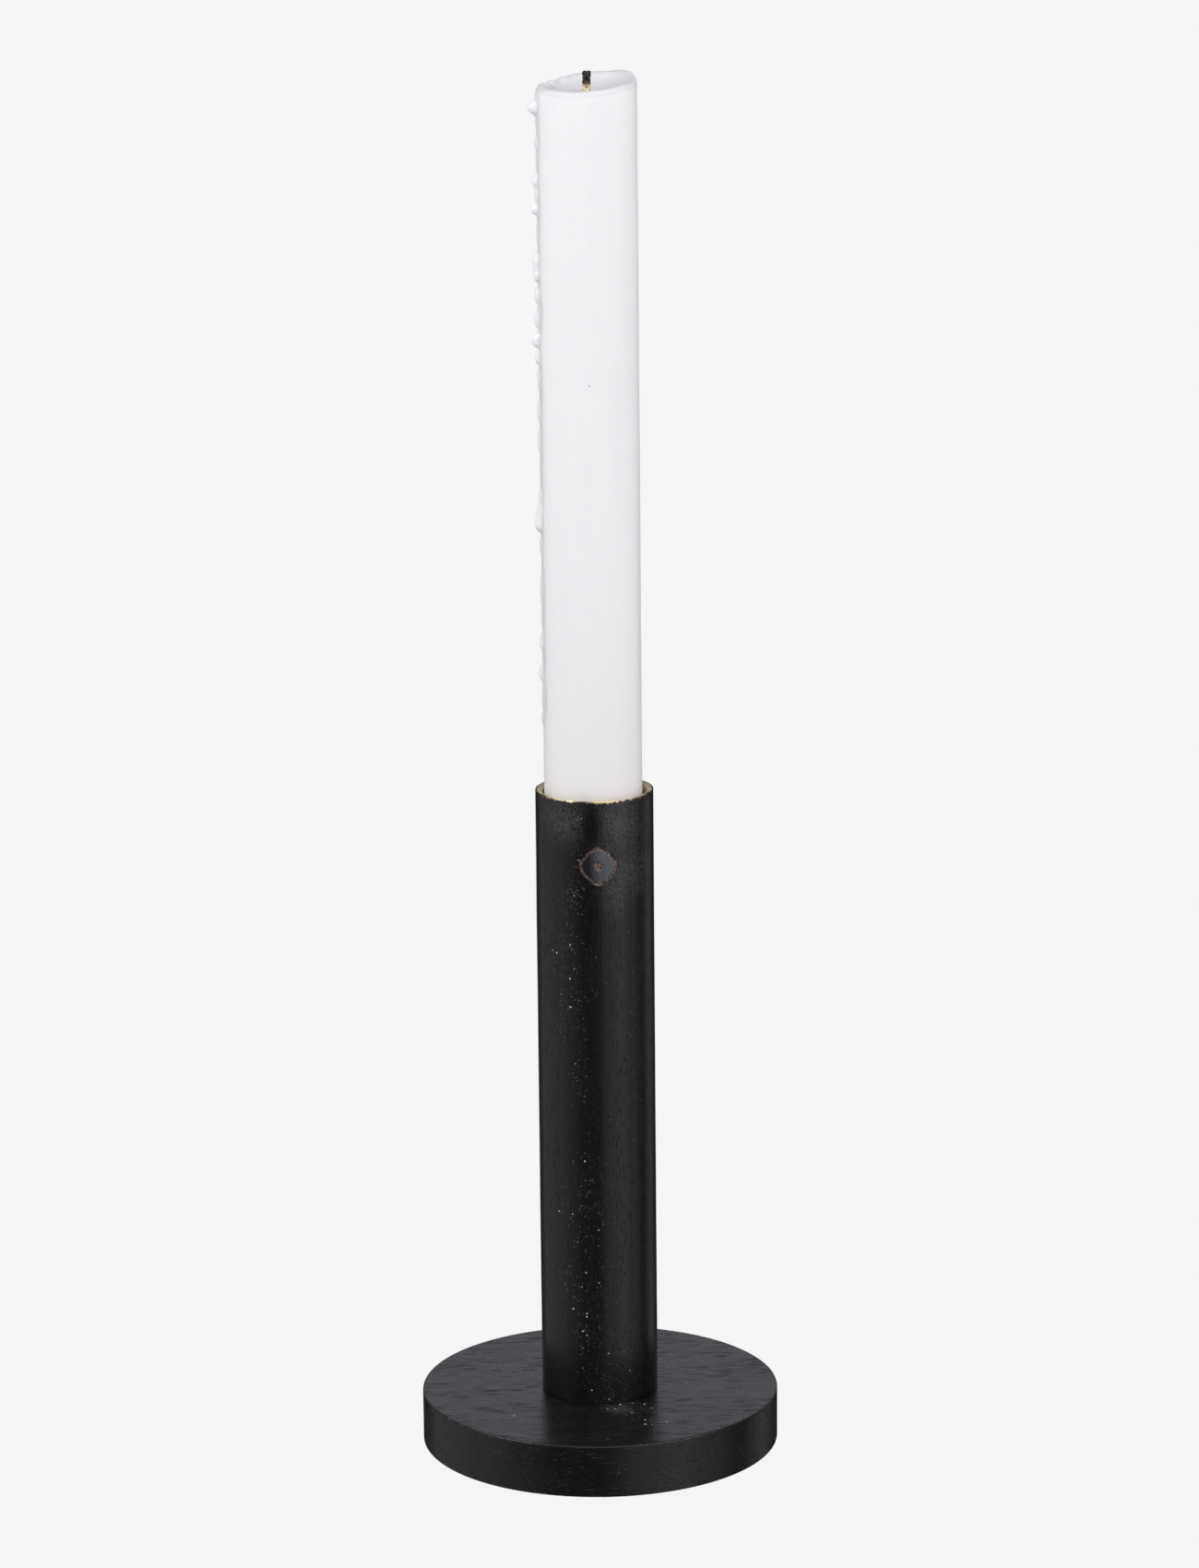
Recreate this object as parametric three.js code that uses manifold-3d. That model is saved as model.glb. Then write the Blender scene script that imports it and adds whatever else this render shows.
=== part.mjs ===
// A turned wooden candlestick with a brass candle cup, and the dinner candle that stands in it.
// Millimetres, +Z up, front towards -Y. The origin is the centre of the felt's underside, where the
// candlestick meets the table. The pieces are listed from the table up.

import * as THREE from "three";
import { mergeVertices } from "three/addons/utils/BufferGeometryUtils.js";
import Module from "manifold-3d";

const wasm = await Module();
wasm.setup();

// ---------------------------------------------------------------- driving dimensions

// Overall sizes
const BASE_DIAMETER = 80;
const BASE_THICKNESS = 11.8;
const STEM_HEIGHT = 138.7; // from the top face of the base to the rim
const CANDLE_DIAMETER = 21.6;
const CANDLE_SHOWING = 155.3; // from the rim to the candle's lip, on average

// Felt under the base
const FELT_THICKNESS = 1.0;
const FELT_INSET = 3.0; // in from the edge of the base

// Candle cup: a thin brass cup let into the top of the stem
const CUP_DEPTH = 22; // from the rim to the floor of the cup
const CUP_WALL = 0.5;
const CUP_LIP_OVERHANG = 0.5; // how far the lip stands out past the wall
const CUP_LIP_THICKNESS = 0.7;
const CUP_LIP_DISH = 0.25; // the lip falls this much towards the candle
const CUP_LIP_EDGE = 0.1; // rounding of the lip's two corners
const CUP_CLEARANCE = 0.05; // round the cup and round its lip, for glue
const RIM_WALL = 0.45; // wood left outside the lip

// Joint between stem and base
const TENON_SHOULDER = 5.0; // width of the shoulder round the tenon
const TENON_CHAMFER = 0.6;
const TENON_CLEARANCE = 0.1; // radial, for glue
const TENON_END_GAP = 0.2;
const WEB_THICKNESS = 3.0; // wood between the mortise and the counterbore

// Screw that draws the base up to the stem, from below
const FOOT_SCREW = { shank: 5.0, length: 40, head: 9.5, headHeight: 3.0, point: 5.0, slot: 1.1 };
const WASHER_DIAMETER = 15;
const WASHER_THICKNESS = 1.2;
const COUNTERBORE_CLEARANCE = 1.0; // radial, round the washer
const HEAD_RECESS = 0.4; // from the screw head up into the base

// Screw that holds the cup down
const CUP_SCREW = { shank: 3.0, length: 14, head: 5.6, headHeight: 1.6, point: 3.0, slot: 0.7 };

const SCREW_HOLE_CLEARANCE = 0.15; // radial
const PILOT_OVERRUN = 2.0; // pilot hole past the screw's point
const HEAD_DOME_SHARE = 0.5; // of the head's height is bevelled off at its edge
const DRIVE_DEPTH_SHARE = 0.6; // of the head's height
const DRIVE_REACH_SHARE = 0.6; // of the head's diameter

// Candle and wick
const CANDLE_CLEARANCE = 0.7; // radial, candle to cup
const CANDLE_SHIFT = -0.2; // the candle stands this far off centre in the cup, along X
const SEAT_GAP = 0.3; // candle's foot over the cup screw's head
const LIP_TILT_RIGHT = 0.85; // the burnt lip is this much higher than average at +X
const LIP_TILT_BACK = 1.25; // and this much at +Y
const LIP_WIDTH = 1.6; // wall left round the pool
const LIP_ROUND = 0.5; // softened outer corner of the lip
const POOL_DEPTH = 2.2; // melted pool, from the lip to its floor beside the wick
const POOL_EDGE_DROP = 0.4; // from the lip to the pool's edge
const POOL_SLOPE = [0.7, 1.7]; // share of the way out to the edge, and how deep the pool is there
const CANDLE_FOOT_CHAMFER = 1.0;
const WICK_DIAMETER = 2.0;
const WICK_CLEARANCE = 0.1;
const WICK_STANDING = 4.3; // wick above the floor of the pool
const WICK_TIP_TAPER = 0.4; // the charred tip narrows by this much, over this height

// Wax that ran down the left side and set
const RUN_AZIMUTH = 184; // degrees from +X, towards the front
const RUN_HALF_WIDTH = 3.2;
const RUN_SKIN = 0.35; // thickness between the beads
const RUN_EDGE = 0.12; // thickness along its two sides
const RUN_GAP = 0.05; // to the candle's side
const RUN_BELOW_LIP = 1.5;
const RUN_ABOVE_RIM = 13;
// Each bead: place along the run (0 top, 1 foot), how far it stands out, half its length
const RUN_BEADS = [
  [0.02, 1.8, 2.0],
  [0.13, 1.1, 1.8],
  [0.18, 1.5, 1.8],
  [0.27, 1.2, 2.6],
  [0.35, 1.0, 2.2],
  [0.385, 1.5, 2.0],
  [0.47, 0.4, 4.0],
  [0.54, 0.4, 3.0],
  [0.665, 1.3, 2.8],
  [0.77, 0.3, 4.0],
  [0.855, 0.6, 3.0],
  [0.905, 0.8, 2.5],
];

// Eased edges
const BASE_TOP_EASE = 0.8;
const BASE_FOOT_EASE = 0.3;
const STEM_FOOT_EASE = 0.2;
const RIM_EASE = 0.25;

// Facets
const BASE_SIDES = 96;
const STEM_SIDES = 72;
const CANDLE_SIDES = 60;
const WASHER_SIDES = 48;
const SCREW_SIDES = 24;
const WICK_SIDES = 16;
const EASE_STEPS = 3;
const RUN_STATION = 1.5; // height of each slice of the set wax
const RUN_FACETS = 6; // across the set wax

// ---------------------------------------------------------------- levels and radii that follow

const baseRadius = BASE_DIAMETER / 2;
const candleRadius = CANDLE_DIAMETER / 2;
const cupInner = candleRadius + CANDLE_CLEARANCE;
const cupOuter = cupInner + CUP_WALL;
const lipOuter = cupOuter + CUP_LIP_OVERHANG;
const boreRadius = cupOuter + CUP_CLEARANCE;
const rebateRadius = lipOuter + CUP_CLEARANCE;
const stemRadius = rebateRadius + RIM_WALL;
const tenonRadius = stemRadius - TENON_SHOULDER;
const washerRadius = WASHER_DIAMETER / 2;
const footHoleRadius = FOOT_SCREW.shank / 2 + SCREW_HOLE_CLEARANCE;
const cupHoleRadius = CUP_SCREW.shank / 2 + SCREW_HOLE_CLEARANCE;
const wickRadius = WICK_DIAMETER / 2;
const wickHoleRadius = wickRadius + WICK_CLEARANCE;

const baseBottom = FELT_THICKNESS;
const baseTop = baseBottom + BASE_THICKNESS;
const footHeadTop = baseBottom + HEAD_RECESS + FOOT_SCREW.headHeight;
const counterboreTop = footHeadTop + WASHER_THICKNESS;
const mortiseFloor = counterboreTop + WEB_THICKNESS;
const tenonBottom = mortiseFloor + TENON_END_GAP;
const footPilotTop = footHeadTop + FOOT_SCREW.length + PILOT_OVERRUN;
const rim = baseTop + STEM_HEIGHT;
const lipUnderside = rim - CUP_LIP_THICKNESS;
const cupFloor = rim - CUP_DEPTH;
const boreFloor = cupFloor - CUP_WALL - CUP_CLEARANCE;
const cupPilotFloor = cupFloor - CUP_SCREW.length - PILOT_OVERRUN;
const candleFoot = cupFloor + CUP_SCREW.headHeight + SEAT_GAP;
const candleLip = rim + CANDLE_SHOWING;
const poolFloor = candleLip - POOL_DEPTH;

// ---------------------------------------------------------------- materials

const finish = (color, roughness, metalness) =>
  new THREE.MeshStandardMaterial({ color, roughness, metalness });

const blackWood = finish(0x2a2829, 0.5, 0);
const brass = finish(0xb08a4a, 0.35, 0.9);
const steel = finish(0xa8abb0, 0.4, 0.9);
const felt = finish(0x1c1c1e, 0.95, 0);
const wax = finish(0xe9e8e8, 0.45, 0);
const wickCotton = finish(0x2b2724, 0.9, 0);

// ---------------------------------------------------------------- helpers

// Turns a list of [radius, height] points about the Z axis.
function turned(points, sides) {
  const profile = points.map(([radius, height]) => new THREE.Vector2(radius, height));
  return new THREE.LatheGeometry(profile, sides).rotateX(Math.PI / 2);
}

// A quarter round from one [radius, height] corner point to another, bulging towards the corner.
function eased([cornerRadius, cornerHeight], from, to) {
  const points = [];
  for (let i = 0; i <= EASE_STEPS; i++) {
    const angle = (i / EASE_STEPS) * (Math.PI / 2);
    const keepFrom = 1 - Math.sin(angle);
    const keepTo = 1 - Math.cos(angle);
    points.push([
      cornerRadius + (from[0] - cornerRadius) * keepFrom + (to[0] - cornerRadius) * keepTo,
      cornerHeight + (from[1] - cornerHeight) * keepFrom + (to[1] - cornerHeight) * keepTo,
    ]);
  }
  return points;
}

function toSolid(geometry) {
  const bare = geometry.clone();
  bare.deleteAttribute("normal");
  bare.deleteAttribute("uv");
  const merged = mergeVertices(bare, 1e-4);
  const vertProperties = new Float32Array(merged.attributes.position.array);
  const triVerts = new Uint32Array(merged.index.array);
  return new wasm.Manifold(new wasm.Mesh({ numProp: 3, vertProperties, triVerts }));
}

function toGeometry(solid) {
  const mesh = solid.getMesh();
  const geometry = new THREE.BufferGeometry();
  geometry.setAttribute("position", new THREE.BufferAttribute(mesh.vertProperties, 3));
  geometry.setIndex(new THREE.BufferAttribute(mesh.triVerts, 1));
  geometry.computeVertexNormals();
  return geometry;
}

// ---------------------------------------------------------------- wooden pieces

function baseDisc() {
  const counterboreRadius = washerRadius + COUNTERBORE_CLEARANCE;
  const mortiseRadius = tenonRadius + TENON_CLEARANCE;
  return turned(
    [
      [footHoleRadius, mortiseFloor],
      [footHoleRadius, counterboreTop],
      [counterboreRadius, counterboreTop],
      [counterboreRadius, baseBottom],
      ...eased(
        [baseRadius, baseBottom],
        [baseRadius - BASE_FOOT_EASE, baseBottom],
        [baseRadius, baseBottom + BASE_FOOT_EASE],
      ),
      ...eased(
        [baseRadius, baseTop],
        [baseRadius, baseTop - BASE_TOP_EASE],
        [baseRadius - BASE_TOP_EASE, baseTop],
      ),
      [mortiseRadius, baseTop],
      [mortiseRadius, mortiseFloor],
      [footHoleRadius, mortiseFloor],
    ],
    BASE_SIDES,
  );
}

function stem() {
  return turned(
    [
      [0, footPilotTop],
      [footHoleRadius, footPilotTop],
      [footHoleRadius, tenonBottom],
      [tenonRadius - TENON_CHAMFER, tenonBottom],
      [tenonRadius, tenonBottom + TENON_CHAMFER],
      [tenonRadius, baseTop],
      ...eased(
        [stemRadius, baseTop],
        [stemRadius - STEM_FOOT_EASE, baseTop],
        [stemRadius, baseTop + STEM_FOOT_EASE],
      ),
      ...eased([stemRadius, rim], [stemRadius, rim - RIM_EASE], [stemRadius - RIM_EASE, rim]),
      [rebateRadius, rim],
      [rebateRadius, lipUnderside],
      [boreRadius, lipUnderside],
      [boreRadius, boreFloor],
      [cupHoleRadius, boreFloor],
      [cupHoleRadius, cupPilotFloor],
      [0, cupPilotFloor],
    ],
    STEM_SIDES,
  );
}

// ---------------------------------------------------------------- metal pieces

function candleCup() {
  const lipTop = rim - CUP_LIP_DISH;
  return turned(
    [
      [cupHoleRadius, cupFloor - CUP_WALL],
      [cupOuter, cupFloor - CUP_WALL],
      [cupOuter, lipUnderside],
      [lipOuter, lipUnderside],
      [lipOuter, rim - CUP_LIP_EDGE],
      [lipOuter - CUP_LIP_EDGE, rim],
      [cupInner + CUP_LIP_EDGE, lipTop],
      [cupInner, lipTop - CUP_LIP_EDGE],
      [cupInner, cupFloor],
      [cupHoleRadius, cupFloor],
      [cupHoleRadius, cupFloor - CUP_WALL],
    ],
    STEM_SIDES,
  );
}

// A pan-head wood screw standing on its head: the underside of the head is at height 0, the point
// is up, and a cross recess is cut into the head from below. The thread is left plain.
function screw({ shank, length, head, headHeight, point, slot }) {
  const dome = headHeight * HEAD_DOME_SHARE;
  const body = turned(
    [
      [0, -headHeight],
      [head / 2 - dome, -headHeight],
      [head / 2, dome - headHeight],
      [head / 2, 0],
      [shank / 2, 0],
      [shank / 2, length - point],
      [0, length],
    ],
    SCREW_SIDES,
  );
  const depth = headHeight * DRIVE_DEPTH_SHARE;
  const reach = head * DRIVE_REACH_SHARE;
  const armAcross = new THREE.BoxGeometry(reach, slot, 2 * depth).translate(0, 0, -headHeight);
  const armAlong = new THREE.BoxGeometry(slot, reach, 2 * depth).translate(0, 0, -headHeight);
  return toGeometry(toSolid(body).subtract(toSolid(armAcross)).subtract(toSolid(armAlong)));
}

function footWasher() {
  return turned(
    [
      [footHoleRadius, counterboreTop],
      [footHoleRadius, footHeadTop],
      [washerRadius, footHeadTop],
      [washerRadius, counterboreTop],
      [footHoleRadius, counterboreTop],
    ],
    WASHER_SIDES,
  );
}

// ---------------------------------------------------------------- felt

function feltPad() {
  const radius = baseRadius - FELT_INSET;
  return turned(
    [
      [0, 0],
      [radius, 0],
      [radius, FELT_THICKNESS],
      [0, FELT_THICKNESS],
    ],
    BASE_SIDES,
  );
}

// ---------------------------------------------------------------- candle

// How far the burnt lip is above its average height at a point of the candle's cross-section.
const lipRise = (x, y) => (LIP_TILT_RIGHT * x + LIP_TILT_BACK * y) / candleRadius;

function candle() {
  const poolEdge = candleRadius - LIP_WIDTH;
  const geometry = turned(
    [
      [wickHoleRadius, candleFoot],
      [candleRadius - CANDLE_FOOT_CHAMFER, candleFoot],
      [candleRadius, candleFoot + CANDLE_FOOT_CHAMFER],
      [candleRadius, candleLip - LIP_ROUND],
      [candleRadius - LIP_ROUND, candleLip],
      [poolEdge, candleLip - POOL_EDGE_DROP],
      [poolEdge * POOL_SLOPE[0], candleLip - POOL_SLOPE[1]],
      [wickHoleRadius, poolFloor],
      [wickHoleRadius, candleFoot],
    ],
    CANDLE_SIDES,
  );
  // The burnt end slopes: every point above the pool's floor follows the lip.
  const place = geometry.attributes.position;
  for (let i = 0; i < place.count; i++) {
    if (place.getZ(i) < poolFloor - POOL_DEPTH) continue;
    place.setZ(i, place.getZ(i) + lipRise(place.getX(i), place.getY(i)));
  }
  return geometry;
}

function wick() {
  const tip = poolFloor + WICK_STANDING;
  return turned(
    [
      [0, candleFoot],
      [wickRadius, candleFoot],
      [wickRadius, tip - WICK_TIP_TAPER],
      [wickRadius - WICK_TIP_TAPER, tip],
      [0, tip],
    ],
    WICK_SIDES,
  );
}

// Thickness of the set wax at a share of the way down the run.
function runThickness(share, runLength) {
  let thickness = RUN_SKIN;
  for (const [place, bulge, halfLength] of RUN_BEADS) {
    const away = ((share - place) * runLength) / halfLength;
    thickness += bulge * Math.exp(-away * away);
  }
  return thickness;
}

// A box laid along the candle's side: its inner face follows the candle and its outer face carries
// the beads.
function waxRun() {
  const azimuth = THREE.MathUtils.degToRad(RUN_AZIMUTH);
  const inner = candleRadius + RUN_GAP;
  const lipThere = candleLip + lipRise(candleRadius * Math.cos(azimuth), candleRadius * Math.sin(azimuth));
  const top = lipThere - RUN_BELOW_LIP;
  const runLength = top - (rim + RUN_ABOVE_RIM);
  const stations = Math.round(runLength / RUN_STATION);
  const geometry = new THREE.BoxGeometry(1, 1, 1, RUN_FACETS, 1, stations);
  const place = geometry.attributes.position;
  for (let i = 0; i < place.count; i++) {
    const across = 2 * place.getX(i);
    const outside = place.getY(i) < 0;
    const share = 0.5 - place.getZ(i);
    const bead = (runThickness(share, runLength) - RUN_EDGE) * Math.cos((across * Math.PI) / 2) ** 2;
    const radius = inner + (outside ? RUN_EDGE + bead : 0);
    const angle = azimuth + (across * RUN_HALF_WIDTH) / candleRadius;
    place.setXYZ(i, radius * Math.cos(angle), radius * Math.sin(angle), top - share * runLength);
  }
  return geometry;
}

// ---------------------------------------------------------------- assembly

function piece(name, geometry, material) {
  const mesh = new THREE.Mesh(geometry, material);
  mesh.name = name;
  return mesh;
}

const candlestick = new THREE.Group();

candlestick.add(piece("felt_pad", feltPad(), felt));
candlestick.add(piece("base_disc", baseDisc(), blackWood));

const footScrew = piece("foot_screw", screw(FOOT_SCREW), steel);
footScrew.position.z = footHeadTop;
candlestick.add(footScrew);
candlestick.add(piece("foot_washer", footWasher(), steel));

candlestick.add(piece("stem", stem(), blackWood));
candlestick.add(piece("candle_cup", candleCup(), brass));

const cupScrew = piece("cup_screw", screw(CUP_SCREW), brass);
cupScrew.rotation.x = Math.PI; // head up, point down
cupScrew.position.z = cupFloor;
candlestick.add(cupScrew);

const burningEnd = new THREE.Group();
burningEnd.position.x = CANDLE_SHIFT;
burningEnd.add(piece("candle", candle(), wax));
burningEnd.add(piece("wick", wick(), wickCotton));
burningEnd.add(piece("wax_run", waxRun(), wax));
candlestick.add(burningEnd);

export default candlestick;
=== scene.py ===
# %% [markdown]
# # A turned wooden candlestick and its dinner candle
#
# The real object is plain: a round disc and a round column, both turned from wood and stained black,
# a thin brass cup let into the top of the column, and a white dinner candle that has burnt for an
# evening. A screw from below draws the disc up to the column, and felt keeps it off the table.
#
# The engineering model already holds every piece at its real size and place. This lesson keeps those
# sizes and gives each piece the surface that the hand and the eye expect: open pores under the stain,
# dust in the grain, a rubbed rim, dull brass, soft wax with its runs, and a braided, charred wick.

# %% Load the measured frame
import math

import bmesh
import bpy
import numpy as np
from mathutils import Matrix, Vector, noise


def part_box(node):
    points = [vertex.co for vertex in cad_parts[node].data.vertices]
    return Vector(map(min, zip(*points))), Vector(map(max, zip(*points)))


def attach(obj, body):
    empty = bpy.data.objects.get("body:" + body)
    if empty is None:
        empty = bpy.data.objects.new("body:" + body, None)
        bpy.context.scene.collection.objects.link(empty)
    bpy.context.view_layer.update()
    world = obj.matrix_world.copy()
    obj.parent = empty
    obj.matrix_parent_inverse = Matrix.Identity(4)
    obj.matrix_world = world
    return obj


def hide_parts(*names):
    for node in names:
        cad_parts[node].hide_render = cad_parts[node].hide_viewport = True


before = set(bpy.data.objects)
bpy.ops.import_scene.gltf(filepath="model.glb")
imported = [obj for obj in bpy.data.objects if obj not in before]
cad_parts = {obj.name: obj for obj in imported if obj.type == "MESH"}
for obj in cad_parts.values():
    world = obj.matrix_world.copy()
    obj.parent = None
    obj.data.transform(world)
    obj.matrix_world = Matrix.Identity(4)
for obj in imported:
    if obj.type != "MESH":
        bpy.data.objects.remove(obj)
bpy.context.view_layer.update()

MM = 0.001

# %% [markdown]
# ## Levels and radii
#
# Every piece is round, so its box says nearly all there is to know: a radius, a foot and a top. The
# sizes of the hidden joints can't be read from a box, so they are named here once, as a turner would
# note them down on the drawing.

# %% Read each round piece's radius, foot and top


def round_size(node):
    """Radius, foot and top of a round node, in metres."""
    low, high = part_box(node)
    return (high.x - low.x) / 2, low.z, high.z


FELT_RADIUS, FELT_FOOT, FELT_TOP = round_size("felt_pad")
BASE_RADIUS, BASE_FOOT, BASE_TOP = round_size("base_disc")
STEM_RADIUS, TENON_FOOT, RIM = round_size("stem")
LIP_RADIUS, CUP_FOOT, _ = round_size("candle_cup")
WASHER_RADIUS, WASHER_FOOT, WASHER_TOP = round_size("foot_washer")
CANDLE_RADIUS, CANDLE_FOOT, CANDLE_HIGHEST = round_size("candle")
WICK_RADIUS, WICK_FOOT, WICK_TIP = round_size("wick")
CANDLE_LEFT, CANDLE_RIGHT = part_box("candle")[0].x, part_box("candle")[1].x
CANDLE_AXIS = Vector(((CANDLE_LEFT + CANDLE_RIGHT) / 2, 0, 0))

TENON_SHOULDER = 5.0 * MM
TENON_CHAMFER = 0.6 * MM
TENON_CLEARANCE = 0.1 * MM
TENON_END_GAP = 0.2 * MM
SCREW_CLEARANCE = 0.15 * MM
COUNTERBORE_CLEARANCE = 1.0 * MM
CUP_WALL = 0.5 * MM
CUP_OVERHANG = 0.5 * MM
CUP_LIP_THICKNESS = 0.7 * MM
CUP_CLEARANCE = 0.05 * MM
CUP_LIP_SPREAD = 0.2 * MM
FOOT_SCREW_SHANK = 5.0 * MM
FOOT_SCREW_LENGTH = 40 * MM
CUP_SCREW_SHANK = 3.0 * MM
CUP_SCREW_LENGTH = 14 * MM
PILOT_OVERRUN = 2.0 * MM

tenon_radius = STEM_RADIUS - TENON_SHOULDER
foot_hole = FOOT_SCREW_SHANK / 2 + SCREW_CLEARANCE
cup_hole = CUP_SCREW_SHANK / 2 + SCREW_CLEARANCE
cup_outer = LIP_RADIUS - CUP_OVERHANG
cup_inner = cup_outer - CUP_WALL
cup_floor = CUP_FOOT + CUP_WALL
lip_radius = LIP_RADIUS + CUP_LIP_SPREAD
rebate_radius = lip_radius + CUP_CLEARANCE
print(f"rim {RIM / MM:.1f} mm, base {2 * BASE_RADIUS / MM:.0f} mm, stem {2 * STEM_RADIUS / MM:.1f} mm")

# %% [markdown]
# ## The camera
#
# The view is a catalogue view: a long lens a little over a metre away, looking slightly down, so the
# round base reads as a flat ellipse and the column hardly tapers. The camera is set by where it
# stands and how it is turned, because those are numbers a person can walk round with.

# %% Stand the camera in front
CAMERA_DISTANCE = 1.180
CAMERA_HEIGHT = 0.4392
CAMERA_PITCH = math.radians(13.659)
CAMERA_YAW = math.radians(0.057)
CAMERA_ROLL = math.radians(-0.55)
CAMERA_LENS = 126.70


def aim(pitch, yaw, roll):
    """The turn of a camera that looks along +Y, tipped down by pitch, turned by yaw, then rolled."""
    ahead = Vector((math.sin(yaw) * math.cos(pitch), math.cos(yaw) * math.cos(pitch), -math.sin(pitch)))
    level = Vector((math.cos(yaw), -math.sin(yaw), 0))
    above = level.cross(ahead)
    right = math.cos(roll) * level + math.sin(roll) * above
    up = -math.sin(roll) * level + math.cos(roll) * above
    return Matrix((right, up, -ahead)).transposed().to_4x4()


camera = bpy.data.objects.new("camera", bpy.data.cameras.new("camera"))
camera.data.lens = CAMERA_LENS
camera.data.sensor_width = 36.0
camera.matrix_world = Matrix.Translation((0, -CAMERA_DISTANCE, CAMERA_HEIGHT)) @ aim(
    CAMERA_PITCH, CAMERA_YAW, CAMERA_ROLL
)
bpy.context.scene.collection.objects.link(camera)
bpy.context.scene.camera = camera
print("camera at", tuple(round(v, 3) for v in camera.matrix_world.translation))

# %% [markdown]
# ## Small tools for node trees
#
# Node trees written in code get long and hard to read. Four short helpers keep them close to what a
# person would say aloud: add a node, do some arithmetic, ease between two levels, mix two colours.
# They work in shader trees and in geometry trees alike.

# %% Helpers that place and join nodes


def place(tree, kind, inputs=None, **settings):
    """Adds a node, sets its options, and fills its inputs with values or joins them to sockets."""
    made = tree.nodes.new(kind)
    for name, value in settings.items():
        setattr(made, name, value)
    for key, value in (inputs or {}).items():
        if isinstance(value, bpy.types.NodeSocket):
            tree.links.new(value, made.inputs[key])
        else:
            made.inputs[key].default_value = value
    return made


def maths(tree, operation, *values):
    """A Math node's result. Values are numbers or sockets."""
    return place(tree, "ShaderNodeMath", dict(enumerate(values)), operation=operation).outputs[0]


def vector_maths(tree, operation, *values):
    """A Vector Math node's vector result."""
    return place(tree, "ShaderNodeVectorMath", dict(enumerate(values)), operation=operation).outputs[0]


def ease(tree, value, low, high):
    """Nought at low, one at high, and a smooth slope between. Low may be the larger."""
    inputs = {"Value": value, "From Min": low, "From Max": high}
    return place(tree, "ShaderNodeMapRange", inputs, interpolation_type="SMOOTHSTEP").outputs[0]


def between(tree, value, low, high):
    """A share from nought to one, spread over low to high."""
    inputs = {"Value": value, "To Min": low, "To Max": high}
    return place(tree, "ShaderNodeMapRange", inputs).outputs[0]


def mix(tree, share, first, second):
    """The colour that lies share of the way from the first to the second."""
    made = place(tree, "ShaderNodeMix", {0: share, 6: first, 7: second}, data_type="RGBA")
    return made.outputs[2]


def grey(level, tint=(1, 1, 1)):
    """A colour from one brightness, with a slight tint."""
    return (level * tint[0], level * tint[1], level * tint[2], 1)


# %% [markdown]
# ## Effects that several finishes share
#
# Pores, dust and rubbed edges turn up on more than one piece. Each is a node group: a box of nodes
# with named inputs, built once and dropped into any material. A group gives out only masks and
# heights, so each material still decides what a pore or a rubbed edge looks like on it.

# %% Start a group with named sockets


def group(name, inputs, outputs):
    """A shader node group. Returns the tree, its input node and its output node."""
    tree = bpy.data.node_groups.new(name, "ShaderNodeTree")
    for label, kind in inputs.items():
        tree.interface.new_socket(label, in_out="INPUT", socket_type=kind)
    for label in outputs:
        tree.interface.new_socket(label, in_out="OUTPUT", socket_type="NodeSocketFloat")
    return tree, tree.nodes.new("NodeGroupInput"), tree.nodes.new("NodeGroupOutput")


def use(tree, shared, inputs):
    """Places a shared group in a material and returns its node."""
    return place(tree, "ShaderNodeGroup", inputs, node_tree=shared)


def fine_noise(tree, where, scale, detail=2.0):
    """Soft noise from nought to one, so many lumps to the metre, with smaller lumps inside them."""
    inputs = {"Vector": where, "Scale": scale, "Detail": detail}
    return place(tree, "ShaderNodeTexNoise", inputs).outputs[0]


VECTOR, FLOAT = "NodeSocketVector", "NodeSocketFloat"

# %% [markdown]
# ### Wood grain
#
# This is an open-pored hardwood. Under the stain the grain still shows in three scales: broad soft
# bands, fine fibres, and the pores, which are short dark dashes that crowd together in some bands and
# leave others almost clear. All three run along the tree, so the pattern is made in a space where the
# grain runs along Z, and squeezed in that direction.

# %% Build the wood grain group


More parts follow.
